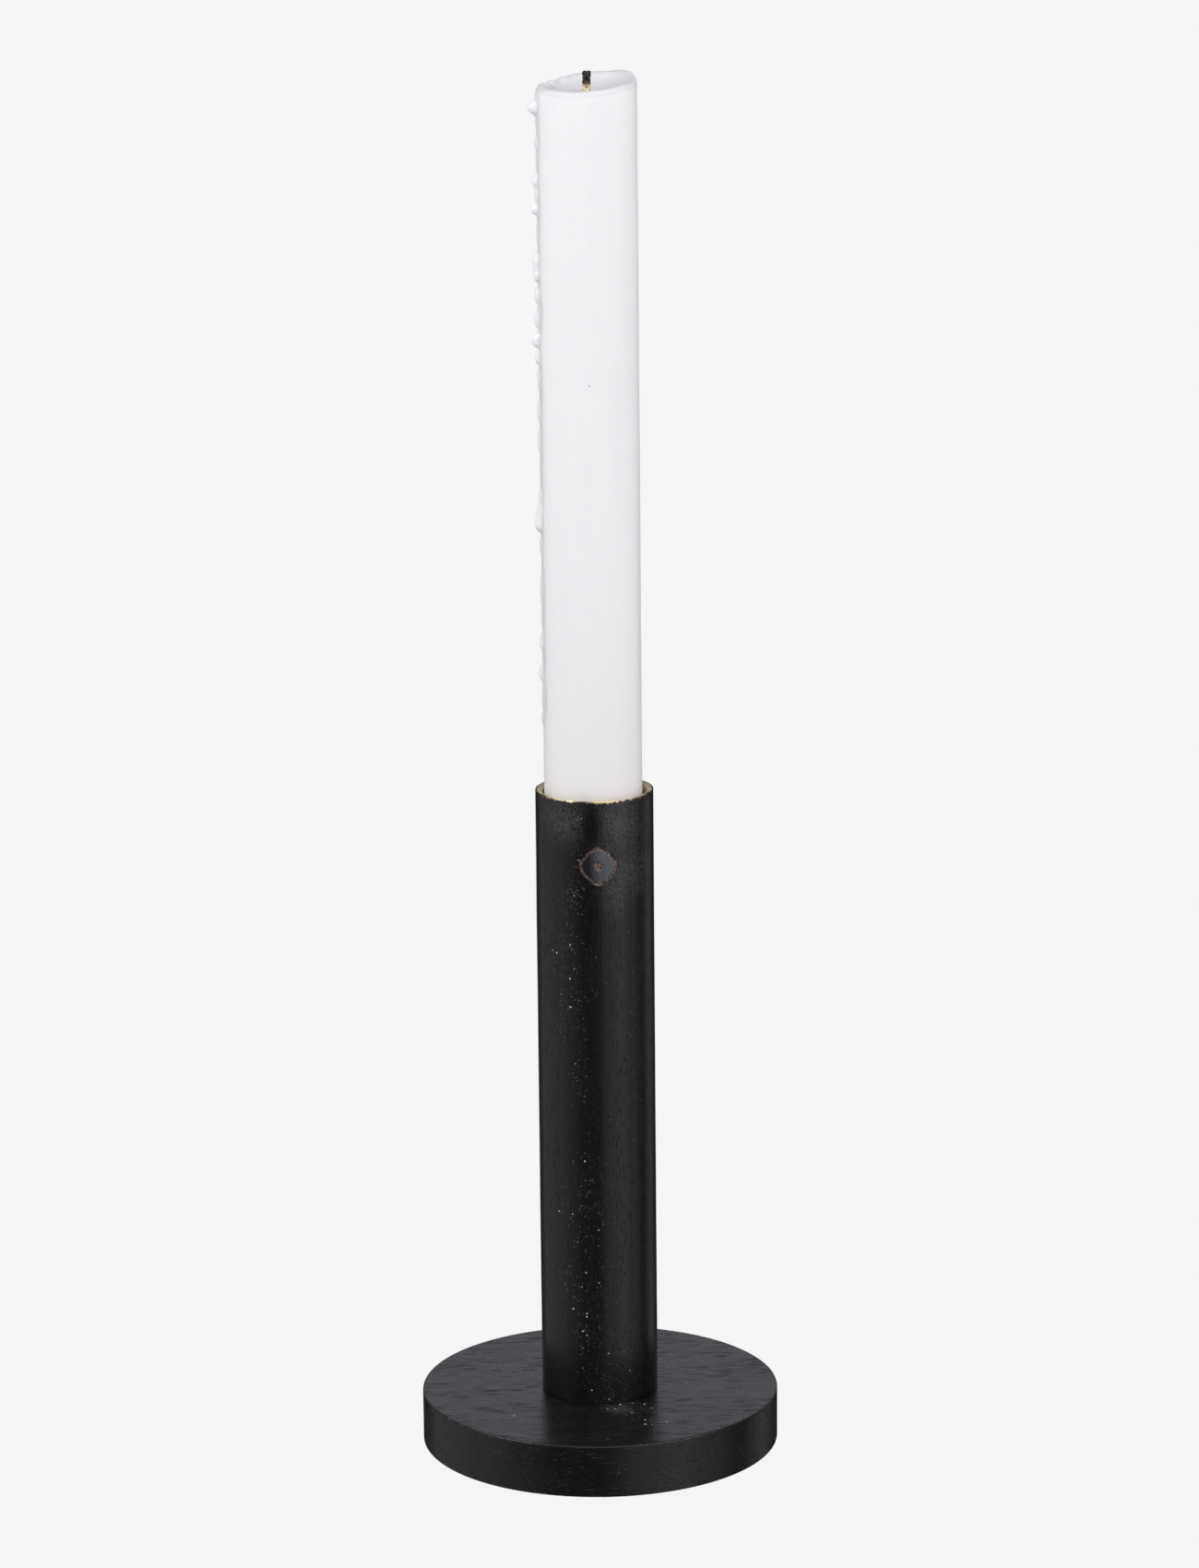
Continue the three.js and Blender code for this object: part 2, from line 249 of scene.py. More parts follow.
def wood_grain():
    tree, given, result = group(
        "Wood grain",
        {"Vector": VECTOR, "Pore Width": FLOAT, "Pore Length": FLOAT, "Pore Share": FLOAT},
        ["Bands", "Fibres", "Pores"],
    )
    place_in_wood = given.outputs["Vector"]

    def squeezed(across, along):
        return vector_maths(tree, "MULTIPLY", place_in_wood, (across, across, along))

    wander = place(tree, "ShaderNodeTexNoise", {"Vector": squeezed(30, 9), "Scale": 1.0, "Detail": 2.0})
    drift = vector_maths(tree, "SCALE", vector_maths(tree, "SUBTRACT", wander.outputs["Color"], (0.5,) * 3))
    drift.node.inputs["Scale"].default_value = 2.0 * MM
    bent = vector_maths(tree, "ADD", place_in_wood, drift)

    def bent_squeezed(across, along):
        return vector_maths(tree, "MULTIPLY", bent, (across, across, along))

    bands = place(
        tree, "ShaderNodeTexNoise", {"Vector": bent_squeezed(160, 9), "Scale": 1.0, "Detail": 3.0}
    )
    fibres = place(
        tree, "ShaderNodeTexNoise", {"Vector": bent_squeezed(1500, 70), "Scale": 1.0, "Detail": 3.0}
    )
    width = maths(tree, "DIVIDE", 1.0, given.outputs["Pore Width"])
    length = maths(tree, "DIVIDE", 1.0, given.outputs["Pore Length"])
    cells = place(tree, "ShaderNodeCombineXYZ", {0: width, 1: width, 2: length})
    pores = place(
        tree,
        "ShaderNodeTexVoronoi",
        {"Vector": vector_maths(tree, "MULTIPLY", bent, cells.outputs[0]), "Scale": 1.0},
    )
    tint = place(tree, "ShaderNodeSeparateColor", {0: pores.outputs["Color"]})
    crowding = maths(tree, "ADD", ease(tree, bands.outputs[0], 0.42, 0.62), given.outputs["Pore Share"])
    chosen = maths(tree, "LESS_THAN", tint.outputs[0], maths(tree, "MULTIPLY", crowding, 0.55))
    dash = ease(tree, pores.outputs["Distance"], 0.34, 0.16)
    join = tree.links.new
    join(bands.outputs[0], result.inputs["Bands"])
    join(fibres.outputs[0], result.inputs["Fibres"])
    join(maths(tree, "MULTIPLY", dash, chosen), result.inputs["Pores"])
    return tree


WOOD_GRAIN = wood_grain()

# %% [markdown]
# ### Specks
#
# Dust, crumbs of wax, pale filler and painted glints are specks: small, round, few, and each in its
# own place. A cell pattern gives every cell one random point. A speck is drawn round the points of a
# small share of the cells, and its size varies from cell to cell.

# %% Build the specks group


def specks():
    tree, given, result = group(
        "Specks",
        {"Vector": VECTOR, "Spacing": FLOAT, "Size": FLOAT, "Share": FLOAT, "Stretch": FLOAT},
        ["Mask"],
    )
    per_metre = maths(tree, "DIVIDE", 1.0, given.outputs["Spacing"])
    upright = maths(tree, "DIVIDE", per_metre, given.outputs["Stretch"])
    cells = place(tree, "ShaderNodeCombineXYZ", {0: per_metre, 1: per_metre, 2: upright})
    scattered = place(
        tree,
        "ShaderNodeTexVoronoi",
        {"Vector": vector_maths(tree, "MULTIPLY", given.outputs["Vector"], cells.outputs[0]), "Scale": 1.0},
    )
    chance = place(tree, "ShaderNodeSeparateColor", {0: scattered.outputs["Color"]})
    chosen = maths(tree, "LESS_THAN", chance.outputs[0], given.outputs["Share"])
    size = maths(tree, "DIVIDE", given.outputs["Size"], given.outputs["Spacing"])
    own_size = maths(tree, "MULTIPLY", size, between(tree, chance.outputs[1], 0.45, 1.0))
    inside = ease(tree, scattered.outputs["Distance"], own_size, maths(tree, "MULTIPLY", own_size, 0.55))
    tree.links.new(maths(tree, "MULTIPLY", inside, chosen), result.inputs["Mask"])
    return tree


SPECKS = specks()

# %% [markdown]
# ### Spots and rubbed rings
#
# Two more masks say where something happens. A soft spot fades out from a point, and gathers at one
# place the specks of dust, crumbs and painted glints, the painted sheen, and the painted shade. A
# rubbed ring follows a round edge, where fingers and cloths have thinned the stain: it is broken up by
# noise, because wear is never even.

# %% Build the spot and ring groups


def soft_spot():
    tree, given, result = group(
        "Soft spot", {"Vector": VECTOR, "Centre": VECTOR, "Reach": FLOAT, "Upright": FLOAT}, ["Mask"]
    )
    away = vector_maths(tree, "SUBTRACT", given.outputs["Vector"], given.outputs["Centre"])
    flatten = maths(tree, "DIVIDE", 1.0, given.outputs["Upright"])
    squash = place(tree, "ShaderNodeCombineXYZ", {0: 1.0, 1: 1.0, 2: flatten})
    distance = place(
        tree,
        "ShaderNodeVectorMath",
        {0: vector_maths(tree, "MULTIPLY", away, squash.outputs[0])},
        operation="LENGTH",
    )
    fading = ease(tree, distance.outputs["Value"], given.outputs["Reach"], 0.0)
    tree.links.new(fading, result.inputs["Mask"])
    return tree


def rubbed_ring():
    tree, given, result = group(
        "Rubbed ring",
        {"Vector": VECTOR, "Radius": FLOAT, "Height": FLOAT, "Reach": FLOAT, "Patchiness": FLOAT},
        ["Mask"],
    )
    part = place(tree, "ShaderNodeSeparateXYZ", {0: given.outputs["Vector"]})
    flat = place(tree, "ShaderNodeCombineXYZ", {0: part.outputs[0], 1: part.outputs[1]})
    spread = place(tree, "ShaderNodeVectorMath", {0: flat.outputs[0]}, operation="LENGTH")
    out = maths(tree, "SUBTRACT", spread.outputs["Value"], given.outputs["Radius"])
    up = maths(tree, "SUBTRACT", part.outputs[2], given.outputs["Height"])
    squares = maths(tree, "ADD", maths(tree, "POWER", out, 2), maths(tree, "POWER", up, 2))
    distance = maths(tree, "SQRT", squares)
    near = ease(tree, distance, given.outputs["Reach"], 0.0)
    broken = fine_noise(tree, given.outputs["Vector"], 420, 4)
    patches = ease(tree, broken, given.outputs["Patchiness"], 0.72)
    tree.links.new(maths(tree, "MULTIPLY", near, patches), result.inputs["Mask"])
    return tree


SOFT_SPOT = soft_spot()
RUBBED_RING = rubbed_ring()
print("shared groups:", [g.name for g in (WOOD_GRAIN, SPECKS, SOFT_SPOT, RUBBED_RING)])

# %% [markdown]
# ## Black-stained wood
#
# The stain is nearly black but not paint: it is thin, a little uneven, and the pores stay open under
# it. What the eye reads as wood is mostly its shine. The fibres break the highlight into fine upright
# streaks, the pores stay dull, and pale dust has settled in some of them. The column and the disc are
# cut from the same wood with the grain upright in one and lying across in the other, so one function
# makes both finishes and takes the turn of the grain.

# %% A material with its Principled shader


def finish(name):
    """A new material. Returns it, its tree, its shader and its own Object coordinates."""
    material = bpy.data.materials.new(name)
    material.use_nodes = True
    tree = material.node_tree
    shader = tree.nodes["Principled BSDF"]
    where = place(tree, "ShaderNodeTexCoord").outputs["Object"]
    return material, tree, shader, where


def feed(tree, shader, **sockets):
    """Joins sockets to the shader's inputs, named with underscores for spaces."""
    for name, socket in sockets.items():
        tree.links.new(socket, shader.inputs[name.replace("_", " ")])


def heights(tree, shader, *layers):
    """Chains bumps, each a height mask and how tall it is in metres."""
    normal = None
    for mask, tall in layers:
        bump = place(tree, "ShaderNodeBump", {"Height": mask, "Distance": tall, "Strength": 1.0})
        if normal is not None:
            tree.links.new(normal, bump.inputs["Normal"])
        normal = bump.outputs["Normal"]
    tree.links.new(normal, shader.inputs["Normal"])


# %% Dust, crumbs, painted glints, painted sheen and painted shade on the wood


def most(tree, masks, floor=0.0):
    """The largest of several masks."""
    top = floor
    for mask in masks:
        top = maths(tree, "MAXIMUM", top, mask)
    return top


def near_any(tree, where, spots):
    """The strongest of the spots (centre, reach, upright stretch, strength), each fading to its reach."""
    masks = []
    for centre, reach, upright, strength in spots:
        spot = use(tree, SOFT_SPOT, {"Vector": where, "Centre": centre, "Reach": reach, "Upright": upright})
        masks.append(maths(tree, "MULTIPLY", spot.outputs[0], strength))
    return most(tree, masks)


def scatter(tree, where, spacing, size, share, stretch=1.0):
    """Specks of one size in a chosen share of the cells."""
    inputs = {"Vector": where, "Spacing": spacing, "Size": size, "Share": share, "Stretch": stretch}
    return use(tree, SPECKS, inputs).outputs[0]


def rubbed_edge(tree, where, radius, height, reach, patchiness):
    """The worn band round one edge, whole where patchiness is low and broken where it is high."""
    inputs = {"Vector": where, "Radius": radius, "Height": height, "Reach": reach}
    return use(tree, RUBBED_RING, {**inputs, "Patchiness": patchiness}).outputs[0]


# %% The stained wood, for grain that stands or lies


def black_wood(name, grain_turn, pore_size, crumb_and_glint_size, rings, crumbs_and_glints, painted_sheens, painted_shades):
    """rings are rubbed edges (radius, height, reach, patchiness); the rest are lists of spots for specks of
    dust, crumbs and painted glints, for painted sheen and for painted shade.
    """
    material, tree, shader, where = finish(name)
    turn = place(tree, "ShaderNodeMapping", {"Vector": where, "Rotation": grain_turn}).outputs[0]
    width, length, share = pore_size
    grain = use(
        tree, WOOD_GRAIN, {"Vector": turn, "Pore Width": width, "Pore Length": length, "Pore Share": share}
    )
    bands, fibres, pores = (grain.outputs[k] for k in ("Bands", "Fibres", "Pores"))
    blotches = fine_noise(tree, where, 55, 3)
    grit = fine_noise(tree, where, 2100, 2)

    thin = ease(tree, blotches, 0.35, 0.7)
    stain = mix(tree, thin, (0.0024, 0.0022, 0.0026, 1), (0.0038, 0.0035, 0.0038, 1))
    stain = mix(tree, ease(tree, bands, 0.35, 0.75), stain, (0.0052, 0.0048, 0.0052, 1))
    stain = mix(tree, ease(tree, grit, 0.5, 0.75), stain, (0.0125, 0.0112, 0.0122, 1))
    stain = mix(tree, pores, stain, (0.0008, 0.0008, 0.0008, 1))

    # Painted sheen: a pale haze painted into the colour where highlights fall on the column and the disc.
    painted_sheen = maths(tree, "MULTIPLY", near_any(tree, where, painted_sheens), ease(tree, grit, 0.3, 0.62))
    # Painted shade: darker patches painted down the dark middle of the column's front and on the disc just
    # in front of the column, where its reflection and shadow fall; the pale haze is kept out of them.
    painted_shade = near_any(tree, where, painted_shades)
    painted_sheen = maths(tree, "MULTIPLY", painted_sheen, maths(tree, "SUBTRACT", 1.0, painted_shade))
    stain = mix(tree, painted_sheen, stain, (0.045, 0.043, 0.047, 1))
    stain = mix(tree, maths(tree, "MULTIPLY", painted_shade, 0.8), stain, (0.001, 0.001, 0.0012, 1))

    fleck_places = ease(tree, fine_noise(tree, where, 95), 0.5, 0.7)
    fleck = scatter(tree, turn, 0.9 * MM, 0.15 * MM, maths(tree, "MULTIPLY", fleck_places, 0.5), 2.0)
    stain = mix(tree, maths(tree, "MULTIPLY", fleck, 0.6), stain, (0.12, 0.115, 0.12, 1))

    worn = []
    for radius, height, reach, patchiness in rings:
        worn.append(rubbed_edge(tree, where, radius, height, reach, patchiness))
    worn = most(tree, worn)
    stain = mix(tree, maths(tree, "MULTIPLY", worn, 0.6), stain, (0.13, 0.112, 0.10, 1))

    # Specks gather at these spots: partly real dust and crumbs, partly painted glints where pores catch the
    # light.
    gathered = near_any(tree, where, crumbs_and_glints)
    dust_and_glint_share = maths(tree, "MULTIPLY", gathered, ease(tree, blotches, 0.2, 0.5))
    dust_and_glint = scatter(tree, where, 0.42 * MM, 0.15 * MM, maths(tree, "MULTIPLY", dust_and_glint_share, 0.9))
    stain = mix(tree, dust_and_glint, stain, (0.17, 0.17, 0.18, 1))
    crowded = maths(tree, "MULTIPLY", maths(tree, "POWER", gathered, 1.5), 0.5)
    crumb_and_glint_share = maths(tree, "ADD", crowded, 0.002)
    crumb_and_glint = scatter(tree, where, 4 * crumb_and_glint_size, crumb_and_glint_size, crumb_and_glint_share)
    stain = mix(tree, crumb_and_glint, stain, (0.66, 0.65, 0.63, 1))

    # Painted sheen: inside the mark the wood is painted lighter and bluish, more so to the right, where the
    # column's highlight band crosses it.
    pressed_sheen = place(tree, "ShaderNodeAttribute", attribute_name="pressed_sheen").outputs["Fac"]
    burn = place(tree, "ShaderNodeAttribute", attribute_name="burn").outputs["Fac"]
    ironed_sheen = maths(tree, "MULTIPLY", pressed_sheen, ease(tree, blotches, 0.2, 0.5))
    stain = mix(tree, ironed_sheen, stain, mix(tree, grit, (0.05, 0.053, 0.062, 1), (0.115, 0.122, 0.14, 1)))
    burnt = mix(tree, ease(tree, grit, 0.38, 0.66), (0.028, 0.014, 0.010, 1), (0.26, 0.155, 0.115, 1))
    stain = mix(tree, burn, stain, burnt)

    dull = maths(tree, "ADD", between(tree, fibres, 0.2, 0.34), maths(tree, "MULTIPLY", pores, 0.55))
    dull = maths(tree, "ADD", dull, maths(tree, "MULTIPLY", worn, 0.12))
    dull = maths(tree, "ADD", dull, maths(tree, "MULTIPLY", ease(tree, blotches, 0.4, 0.7), 0.025))
    feed(tree, shader, Base_Color=stain, Roughness=dull)
    sunk = maths(tree, "MULTIPLY", pores, -1.0)
    heights(tree, shader, (fibres, 0.035 * MM), (grit, 0.03 * MM), (sunk, 0.05 * MM), (crumb_and_glint, 0.12 * MM))
    return material


# %% Where the marks of use, painted glints, painted sheen and painted shade lie


def on_column(across, below_rim):
    """A point on the front of the column, so far to the right and so far below the rim, in mm."""
    across = across * MM
    return Vector((across, -math.sqrt(STEM_RADIUS**2 - across**2), RIM - below_rim * MM))


def on_base(across, forward):
    """A point on top of the disc, so far to the right and so far in front of the middle, in mm."""
    return Vector((across * MM, -forward * MM, BASE_TOP))


# Each is (across, below the rim or forward, reach, upright stretch, strength)
# Specks of dust and crumbs, and painted glints, gather at these spots on the column.
COLUMN_CRUMBS_AND_GLINTS = [(-3.6, 4.6, 1.6, 1.2, 2.0), (-7.4, 6, 3.4, 1.3, 0.8), (-3.6, 14, 2.2, 2.4, 0.9)]
COLUMN_CRUMBS_AND_GLINTS += [(-4.6, 22, 5.5, 1.3, 0.75), (-6.6, 33, 5, 2.0, 0.6), (-4, 62, 4, 3.0, 0.45)]
COLUMN_CRUMBS_AND_GLINTS += [(0.8, 86, 1.8, 1.0, 0.9), (-2, 95, 5, 6.0, 0.5), (-3, 122, 5, 3.5, 0.5)]
COLUMN_CRUMBS_AND_GLINTS += [(1, 134, 6, 3.0, 0.5), (8.5, 60, 3, 12.0, 0.15), (-6, 42, 9, 3.0, 0.38)]
COLUMN_CRUMBS_AND_GLINTS += [(-3, 105, 9, 4.0, 0.36), (5, 128, 6, 2.0, 0.34)]
# Painted sheen: a pale haze is painted at these spots, over the column's highlight bands.
COLUMN_PAINTED_SHEEN = [(5.5, 5, 11, 1.0, 1.0), (-6.5, 4, 9, 1.0, 1.0), (8, 16, 9, 1.0, 0.8), (4, 19, 7, 1.6, 0.8)]
# Painted shade is painted at these spots, down the dark middle of the column's front.
COLUMN_PAINTED_SHADE = [(-0.6, 6, 3.4, 2.0, 1.0), (-1.4, 24, 5, 2.0, 0.9)]
COLUMN_PAINTED_SHADE += [(-2.2, 31, 4, 2.0, 0.9), (-1.5, 56, 3, 4.0, 0.6)]
# Specks of dust and crumbs, and painted glints, gather at these spots on the disc.
BASE_CRUMBS_AND_GLINTS = [(1, 14, 3, 1, 1.8), (5, 13, 3, 1, 1.8), (8, 12, 4, 1, 1.6)]
BASE_CRUMBS_AND_GLINTS += [(9, 17, 7, 1, 1.3), (12, 24, 7, 1, 1.1)]
BASE_CRUMBS_AND_GLINTS += [(-18, 20, 4, 1, 0.6), (5, 18, 4, 1, 1.0), (14, 21, 5, 1, 0.8)]
# A patch of painted sheen on the disc, just in front of the column.
BASE_PAINTED_SHEEN = [(4, 16.5, 4.5, 1, 1.0)]
# Painted shade on the disc just in front of the column, where its reflection and shadow fall.
BASE_PAINTED_SHADE = [(0, 13.4, 3, 1, 1.0)]


def spots_on(surface, spots):
    """Turns (across, down or forward, reach, stretch, strength) in mm into centres in metres."""
    return [(surface(across, along), reach * MM, *rest) for across, along, reach, *rest in spots]


UPRIGHT = (0, 0, 0)
ACROSS = (0, math.radians(90), 0)
STEM_WOOD = black_wood(
    "stained wood, grain upright",
    UPRIGHT,
    pore_size=(0.36 * MM, 3.0 * MM, 0.05),
    crumb_and_glint_size=0.24 * MM,
    rings=[(STEM_RADIUS, RIM, 0.8 * MM, 0.46), (STEM_RADIUS, BASE_TOP, 0.4 * MM, 0.55)],
    crumbs_and_glints=spots_on(on_column, COLUMN_CRUMBS_AND_GLINTS),
    painted_sheens=spots_on(on_column, COLUMN_PAINTED_SHEEN),
    painted_shades=spots_on(on_column, COLUMN_PAINTED_SHADE),
)
BASE_WOOD = black_wood(
    "stained wood, grain across",
    ACROSS,
    pore_size=(0.45 * MM, 6.5 * MM, 0.75),
    crumb_and_glint_size=0.40 * MM,
    rings=[(BASE_RADIUS, BASE_TOP, 0.9 * MM, 0.58), (BASE_RADIUS, BASE_FOOT, 0.7 * MM, 0.45)],
    crumbs_and_glints=spots_on(on_base, BASE_CRUMBS_AND_GLINTS),
    painted_sheens=spots_on(on_base, BASE_PAINTED_SHEEN),
    painted_shades=spots_on(on_base, BASE_PAINTED_SHADE),
)

# %% [markdown]
# ## Brass, steel, felt
#
# The cup is thin spun brass that has seen hot wax: bright where the candle rubs it, brown and grey
# where old wax and soot have sat. Only its lip and the first millimetres of its wall show. The screws
# and the washer are hidden, but a person who takes the candlestick apart finds zinc-plated steel with
# turning marks. The felt is pressed wool, dark, and fuzzy at its cut edge.

# %% The metals


def metal(name, bright, dark, rough, tarnish, scratch_along, rubbed=(), sooted=()):
    """Metal with darker, duller patches and fine scratches stretched by scratch_along.

    rubbed is a list of rings (radius, height, reach) kept bright, sooted a list of dark spots.
    """
    material, tree, shader, where = finish(name)
    patches = fine_noise(tree, where, 380, 5)
    old = ease(tree, patches, *tarnish)
    for radius, height, reach in rubbed:
        kept = rubbed_edge(tree, where, radius, height, reach, 0.2)
        old = maths(tree, "MULTIPLY", old, maths(tree, "SUBTRACT", 1.0, kept))
    colour = mix(tree, old, bright, dark)
    if sooted:
        colour = mix(tree, near_any(tree, where, sooted), colour, (0.03, 0.026, 0.024, 1))
    scratched = vector_maths(tree, "MULTIPLY", where, scratch_along)
    scratches = fine_noise(tree, scratched, 1.0, 3)
    feed(
        tree,
        shader,
        Base_Color=colour,
        Roughness=maths(
            tree, "ADD", between(tree, scratches, rough, rough + 0.16), maths(tree, "MULTIPLY", old, 0.22)
        ),
        Metallic=between(tree, old, 1.0, 0.45),
    )
    heights(tree, shader, (scratches, 0.015 * MM), (patches, 0.12 * MM))
    return material


def on_lip(angle, reach):
    """A spot on the lip of the cup at an angle in degrees, 270 being the front."""
    turn = math.radians(angle)
    return (Vector((LIP_RADIUS * math.cos(turn), LIP_RADIUS * math.sin(turn), RIM)), reach * MM, 1.0, 0.9)


DEEP_IN_CUP = (Vector((0, 0, cup_floor)), 22 * MM, 1.0, 0.65)
BRASS_BRIGHT = (0.98, 0.76, 0.38, 1)
BRASS_DARK = (0.46, 0.39, 0.38, 1)
BRASS_SCRATCHES = (900, 900, 5000)
BRASS = metal(
    "spun brass, dulled",
    BRASS_BRIGHT,
    BRASS_DARK,
    0.2,
    (0.2, 0.68),
    BRASS_SCRATCHES,
    rubbed=[(lip_radius, RIM - 0.2 * MM, 0.75 * MM), (cup_inner, RIM - 0.7 * MM, 0.8 * MM)],
    sooted=[on_lip(259, 2.6), on_lip(206, 2.0), on_lip(338, 2.2), DEEP_IN_CUP],
)
SCREW_BRASS = metal("turned brass", BRASS_BRIGHT, BRASS_DARK, 0.2, (0.44, 0.6), BRASS_SCRATCHES)
STEEL = metal(
    "zinc-plated steel", (0.52, 0.53, 0.55, 1), (0.25, 0.24, 0.22, 1), 0.3, (0.5, 0.7), (900, 900, 6000)
)

# %% The felt


def felt_finish():
    material, tree, shader, where = finish("pressed wool felt")
    fibres = place(tree, "ShaderNodeTexNoise", {"Vector": where, "Scale": 2600, "Detail": 4}).outputs[0]
    lumps = place(tree, "ShaderNodeTexNoise", {"Vector": where, "Scale": 260, "Detail": 3}).outputs[0]
    colour = mix(tree, ease(tree, fibres, 0.35, 0.7), (0.008, 0.008, 0.009, 1), (0.028, 0.028, 0.031, 1))
    shader.inputs["Sheen Weight"].default_value = 0.35
    shader.inputs["Sheen Roughness"].default_value = 0.6
    feed(tree, shader, Base_Color=colour, Roughness=between(tree, lumps, 0.88, 1.0))
    heights(tree, shader, (fibres, 0.12 * MM), (lumps, 0.08 * MM))
    return material


FELT = felt_finish()
print("metals and felt:", BRASS.name, "/", STEEL.name, "/", FELT.name)

# %% [markdown]
# ## Candle wax and charred cotton
#
# Candle wax is never a white paint. Light goes a few millimetres in and comes out again, which softens
# every shadow, so the shader gets subsurface scattering. The surface is satin, faintly streaked along
# the candle where it was drawn from its mould, and carries a few tiny flecks of soot. The wick is
# cotton, cream where it leaves the wax and black and brittle above.

# %% The wax


def wax_finish(name, pool_level, soot):
    """The pool is painted greyer than the side, as painted shade; soot is a list of (centre, reach) for
    single tiny flecks.
    """
    material, tree, shader, where = finish(name)
    drawn = vector_maths(tree, "MULTIPLY", where, (330, 330, 14))
    streaks = place(tree, "ShaderNodeTexNoise", {"Vector": drawn, "Scale": 1.0, "Detail": 3}).outputs[0]
    cloud = place(tree, "ShaderNodeTexNoise", {"Vector": where, "Scale": 60, "Detail": 3}).outputs[0]
    pitting = place(tree, "ShaderNodeTexNoise", {"Vector": where, "Scale": 900, "Detail": 3}).outputs[0]
    colour = mix(tree, streaks, (0.845, 0.85, 0.87, 1), (0.885, 0.885, 0.89, 1))
    colour = mix(tree, ease(tree, cloud, 0.55, 0.8), colour, (0.88, 0.86, 0.87, 1))
    from_axis = vector_maths(tree, "SUBTRACT", where, CANDLE_AXIS)
    part = place(tree, "ShaderNodeSeparateXYZ", {0: from_axis}).outputs
    flat = place(tree, "ShaderNodeCombineXYZ", {0: part[0], 1: part[1]}).outputs[0]
    reach = place(tree, "ShaderNodeVectorMath", {0: flat}, operation="LENGTH").outputs["Value"]
    # Painted shade: the pool inside the lip is painted greyer.
    inside = ease(tree, reach, CANDLE_RADIUS - 0.6 * MM, CANDLE_RADIUS - 1.7 * MM)
    pool = maths(tree, "MULTIPLY", inside, ease(tree, part[2], pool_level - 2.5 * MM, pool_level - 1 * MM))
    colour = mix(tree, pool, colour, mix(tree, cloud, (0.62, 0.62, 0.645, 1), (0.76, 0.75, 0.785, 1)))
    # Greyer towards the foot of the candle, over the 52 mm above the rim.
    greyer_towards_foot = ease(tree, part[2], RIM + 52 * MM, RIM)
    colour = mix(tree, greyer_towards_foot, colour, (0.845, 0.83, 0.838, 1))
    # Painted shade: the top of the lip, which faces the high lights, is painted darker.
    lip_top_shade = place(tree, "ShaderNodeAttribute", attribute_name="lip_top_shade").outputs["Fac"]
    colour = mix(tree, lip_top_shade, colour, mix(tree, pitting, (0.60, 0.60, 0.63, 1), (0.78, 0.77, 0.80, 1)))
    for centre, reach in soot:
        spot = use(tree, SOFT_SPOT, {"Vector": where, "Centre": centre, "Reach": reach, "Upright": 1.0})
        colour = mix(tree, ease(tree, spot.outputs[0], 0.1, 0.5), colour, (0.05, 0.04, 0.035, 1))
    shader.inputs["Subsurface Weight"].default_value = 0.75
    shader.inputs["Subsurface Radius"].default_value = (1.0, 0.9, 0.8)
    shader.inputs["Subsurface Scale"].default_value = 2.2 * MM
    shader.inputs["Specular IOR Level"].default_value = 0.4
    feed(tree, shader, Base_Color=colour, Roughness=between(tree, streaks, 0.36, 0.5))
    heights(tree, shader, (streaks, 0.03 * MM), (cloud, 0.1 * MM), (pitting, 0.015 * MM))
    return material


# %% The wick


def wick_finish(char_level):
    material, tree, shader, where = finish("cotton wick, charred")
    strands = place(tree, "ShaderNodeTexNoise", {"Vector": where, "Scale": 2400, "Detail": 3}).outputs[0]
    level = place(tree, "ShaderNodeSeparateXYZ", {0: where}).outputs[2]
    uneven = maths(tree, "ADD", level, between(tree, strands, -0.5 * MM, 0.5 * MM))
    scorched = ease(tree, uneven, char_level - 0.9 * MM, char_level - 0.1 * MM)
    charred = ease(tree, uneven, char_level - 0.2 * MM, char_level + 0.3 * MM)
    cotton = mix(tree, strands, (0.62, 0.5, 0.34, 1), (0.8, 0.7, 0.52, 1))
    colour = mix(tree, scorched, cotton, (0.2, 0.1, 0.04, 1))
    char = mix(tree, strands, (0.006, 0.006, 0.006, 1), (0.03, 0.028, 0.027, 1))
    colour = mix(tree, charred, colour, char)
    feed(tree, shader, Base_Color=colour, Roughness=between(tree, charred, 0.9, 0.7))
    heights(tree, shader, (strands, 0.05 * MM))
    return material


# %% [markdown]
# ## A lathe made of nodes
#
# Nearly every piece here was spun: the wood on a lathe, the cup over a former, the washer and the
# screws on a machine. So the pieces are made that way. A mesh of a few edges is the profile, drawn in
# the XZ plane as a turner draws half a section. The tree sweeps it round the Z axis, welds the points
# that meet on the axis, and lets a hand-made unevenness in, because nothing turned by hand is a
# perfect circle. The same tree serves a 40 mm disc and a 3 mm screw.

# %% Build the lathe tree


def geometry_tree(name, inputs):
    """A geometry tree with named inputs of (kind, default). Returns it and its two end nodes."""
    tree = bpy.data.node_groups.new(name, "GeometryNodeTree")
    tree.interface.new_socket("Geometry", in_out="INPUT", socket_type="NodeSocketGeometry")
    for label, (kind, default) in inputs.items():
        socket = tree.interface.new_socket(label, in_out="INPUT", socket_type=kind)
        if default is not None:
            socket.default_value = default
    tree.interface.new_socket("Geometry", in_out="OUTPUT", socket_type="NodeSocketGeometry")
    return tree, tree.nodes.new("NodeGroupInput"), tree.nodes.new("NodeGroupOutput")


def close_tree(tree, geometry, material, result, smooth_below=0.6):
    """Smooth shading except over sharp edges, then real meshes and their material."""
    angle = place(tree, "GeometryNodeInputMeshEdgeAngle").outputs["Unsigned Angle"]
    round_edge = place(
        tree, "FunctionNodeCompare", {0: angle, 1: smooth_below}, data_type="FLOAT", operation="LESS_THAN"
    )
    shade = place(tree, "GeometryNodeSetShadeSmooth", {0: geometry}, domain="FACE")
    edges = place(
        tree,
        "GeometryNodeSetShadeSmooth",
        {0: shade.outputs[0], "Shade Smooth": round_edge.outputs[0]},
        domain="EDGE",
    )
    real = place(tree, "GeometryNodeRealizeInstances", {0: edges.outputs[0]})
    dressed = place(tree, "GeometryNodeSetMaterial", {0: real.outputs[0], "Material": material})
    tree.links.new(dressed.outputs[0], result.inputs[0])


